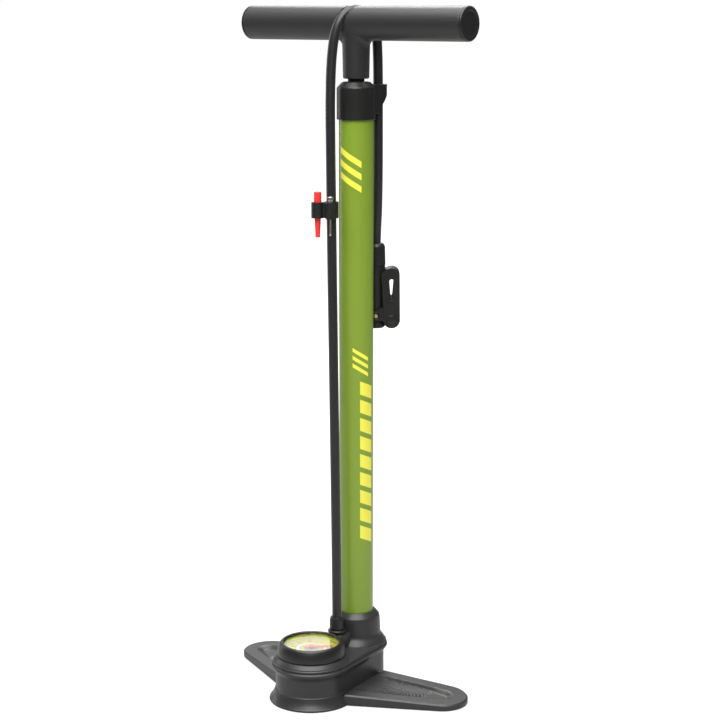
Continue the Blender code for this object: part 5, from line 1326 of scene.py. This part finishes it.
class PUMP_OT_head(bpy.types.Operator):
    """The valve head: ferrule, body, nose, gasket, pin and lever"""

    bl_idname = "pump.head"
    bl_label = "Valve head"
    bl_options = {"REGISTER", "UNDO"}

    def execute(self, context):
        low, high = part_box("hose_ferrule")
        bottom, top = low.z / MM, high.z / MM
        outline = [
            (5.4, bottom), (9.7, bottom), (9.75, bottom + 1.0),
            (9.25, top - 3.0), (7.4, top), (5.5, top),
        ]
        section = softened(np.array(outline) * MM, np.array([0, 0.3, 0.3, 1.0, 0.6, 0.2]) * MM, True)
        ferrule = lathe("ferrule", section, HEAD_PLACE, 72, closed=True)
        piece("ferrule", ferrule, finish("black_nylon"), "base", ["hose_ferrule"])
        for name, width in (("head_body", 0.5 * MM), ("head_nose_cap", 0.4 * MM)):
            mesh = refined(name, width)
            piece(name + "_moulding", mesh, finish("black_nylon"), "base", [name])
        self.lever()
        small = (("lever_pin", "brass", "turned_brass"), ("head_gasket", "seal_rubber", "seal_rubber"))
        for name, slot, look in small:
            piece(name + "_rounded", refined(name, 0.2 * MM), finish(look), "base", [name])
        return {"FINISHED"}

    def lever(self):
        """The thumb lever in its own plane about the pin: x out from the head, y up, z towards the front.
        Its waist is drawn in by a bell curve of the height, its slot closes towards the pin, and its thumb
        end thins."""
        plane = Matrix.Translation((*HEAD_PLACE, PIN_HEIGHT)) @ Matrix.Rotation(HEAD_TURN, 4, "Z")
        plane = plane @ Matrix.Rotation(math.pi / 2, 4, "X")
        mesh = refined("head_lever", 0.7 * MM, 3)
        mesh.transform(plane.inverted())
        points = np.empty(len(mesh.vertices) * 3)
        mesh.vertices.foreach_get("co", points)
        x, y, z = points.reshape(-1, 3).T / MM
        in_slot = (np.abs(x - 15.7) < 2.7) & (y > 18.0) & (y < 39.0)
        closing = np.interp(y, [18.0, 38.5], [0.34, 1.0])
        slot_x = 15.9 + (x - 15.7) * closing
        waist = 1.5 * np.exp(-(((y - 27.0) / 9.0) ** 2)) * smoothstep(x, 19.0, 23.5)
        lean = 0.9 * smoothstep(y, 34.0, 46.0) * smoothstep(x, 8.0, 23.0)
        x = np.where(in_slot, slot_x, x - waist + lean)
        inner_side = 1 - smoothstep(x, 8.0, 13.0)
        x -= 2.6 * smoothstep(y, 26.0, 44.0) * inner_side * smoothstep(np.abs(z), 10.5, 11.2)
        z = z * (1 - 0.12 * smoothstep(y, 38.0, 50.0))
        mesh.vertices.foreach_set("co", (np.stack([x, y, z], -1) * MM).ravel())
        front = 12.2 * MM
        back = front - 1.2 * MM
        knuckle = (16 * MM, -4 * MM)
        path = arc_path(knuckle, 6.9 * MM, 150, 420, 60)
        rim = strip("knuckle_rim", path, 0.75 * MM, back, front + 0.7 * MM, 0.35 * MM)
        section = np.array([(0, 12.75), (4.1, 12.6), (4.9, 12.1), (4.9, 11.5), (0, 11.5)]) * MM
        disc = lathe("knuckle_disc", section, knuckle, 40)
        path = arc_path((15.8 * MM, 19.6 * MM), 3.5 * MM, 195, 345, 30)
        scoop = strip("slot_scoop", path, 0.6 * MM, back, front + 0.55 * MM, 0.3 * MM)
        boss_ring = np.array([(2.6, 12.0), (2.6, 12.7), (3.1, 12.9), (3.9, 12.8), (4.3, 12.0)]) * MM
        boss = lathe("pin_boss", softened(boss_ring, 0.2 * MM, True), (0.0, 0.0), 40, closed=True)
        made = united("lever_moulding", mesh, rim, disc, scoop, boss)
        made.transform(plane)
        piece("lever_moulding", made, finish("black_nylon"), "lever", ["head_lever"])


class PUMP_OT_inner(bpy.types.Operator):
    """Finishes for the inner pieces that keep their CAD shape"""

    bl_idname = "pump.inner"
    bl_label = "Inner pieces"
    bl_options = {"REGISTER", "UNDO"}

    looks = {
        "rod_steel": ("base_screw_left", "base_screw_right", "check_ball", "handle_bolt", "piston_nut"),
        "seal_rubber": ("barrel_gasket", "cap_wiper", "hose_washer", "piston_seal"),
        "acetal": ("foot_valve_body", "guide_bush", "piston"),
        "turned_brass": ("gauge_can", "gauge_movement", "bourdon_tube"),
    }

    def execute(self, context):
        self.spring()
        for look, names in self.looks.items():
            for name in names:
                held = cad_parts[name]
                for slot_index in range(max(len(held.material_slots), 1)):
                    if not held.material_slots:
                        held.data.materials.append(None)
                    held.material_slots[slot_index].material = finish(look)
        return {"FINISHED"}


    def spring(self):
        """The check valve's spring: a helix of even pitch between its seat and the ball."""
        low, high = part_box("check_spring")
        wire, turns = 0.35 * MM, 4
        t = np.linspace(0.0, 1.0, 240)
        turned = 2 * math.pi * turns * t
        radius = (high.x - low.x) / 2 - wire
        middle = (low + high) / 2
        path = np.stack(
            [
                middle.x + radius * np.cos(turned),
                middle.y + radius * np.sin(turned),
                low.z + wire + (high.z - low.z - 2 * wire) * t,
            ],
            -1,
        )
        mesh = tube("valve_spring", path, wire, 12, (0.0, 0.0, 1.0))
        coil = piece("valve_spring", mesh, finish("rod_steel"), None, ["check_spring"])
        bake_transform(coil)


class PUMP_PT_panel(bpy.types.Panel):
    """The pump's sizes, colours and build steps"""

    bl_idname = "PUMP_PT_panel"
    bl_label = "Floor Pump"
    bl_space_type = "VIEW_3D"
    bl_region_type = "UI"
    bl_category = "Floor Pump"

    def draw(self, context):
        for group in (context.scene.pump_sizes, context.scene.pump_colours):
            box = self.layout.box()
            for key in group.__annotations__:
                box.prop(group, key)
        for step in STEPS:
            self.layout.operator(step.bl_idname)


STEPS = (
    PUMP_OT_stage,
    PUMP_OT_foot,
    PUMP_OT_barrel,
    PUMP_OT_cap,
    PUMP_OT_handle,
    PUMP_OT_gauge,
    PUMP_OT_fitting,
    PUMP_OT_clip,
    PUMP_OT_head,
    PUMP_OT_hose,
    PUMP_OT_inner,
)
CLASSES = (PumpSizes, PumpColours, *STEPS, PUMP_PT_panel)


def register():
    """Adds the classes, and the sizes and colours to every scene."""
    for made in CLASSES:
        bpy.utils.register_class(made)
    bpy.types.Scene.pump_sizes = bpy.props.PointerProperty(type=PumpSizes)
    bpy.types.Scene.pump_colours = bpy.props.PointerProperty(type=PumpColours)


def unregister():
    """Takes away what register added."""
    del bpy.types.Scene.pump_colours
    del bpy.types.Scene.pump_sizes
    for made in reversed(CLASSES):
        bpy.utils.unregister_class(made)


def main():
    """Builds every piece in order."""
    register()
    for step in STEPS:
        getattr(bpy.ops.pump, step.bl_idname.split(".")[1])()
    bpy.context.view_layer.update()


if __name__ == "__main__":
    main()
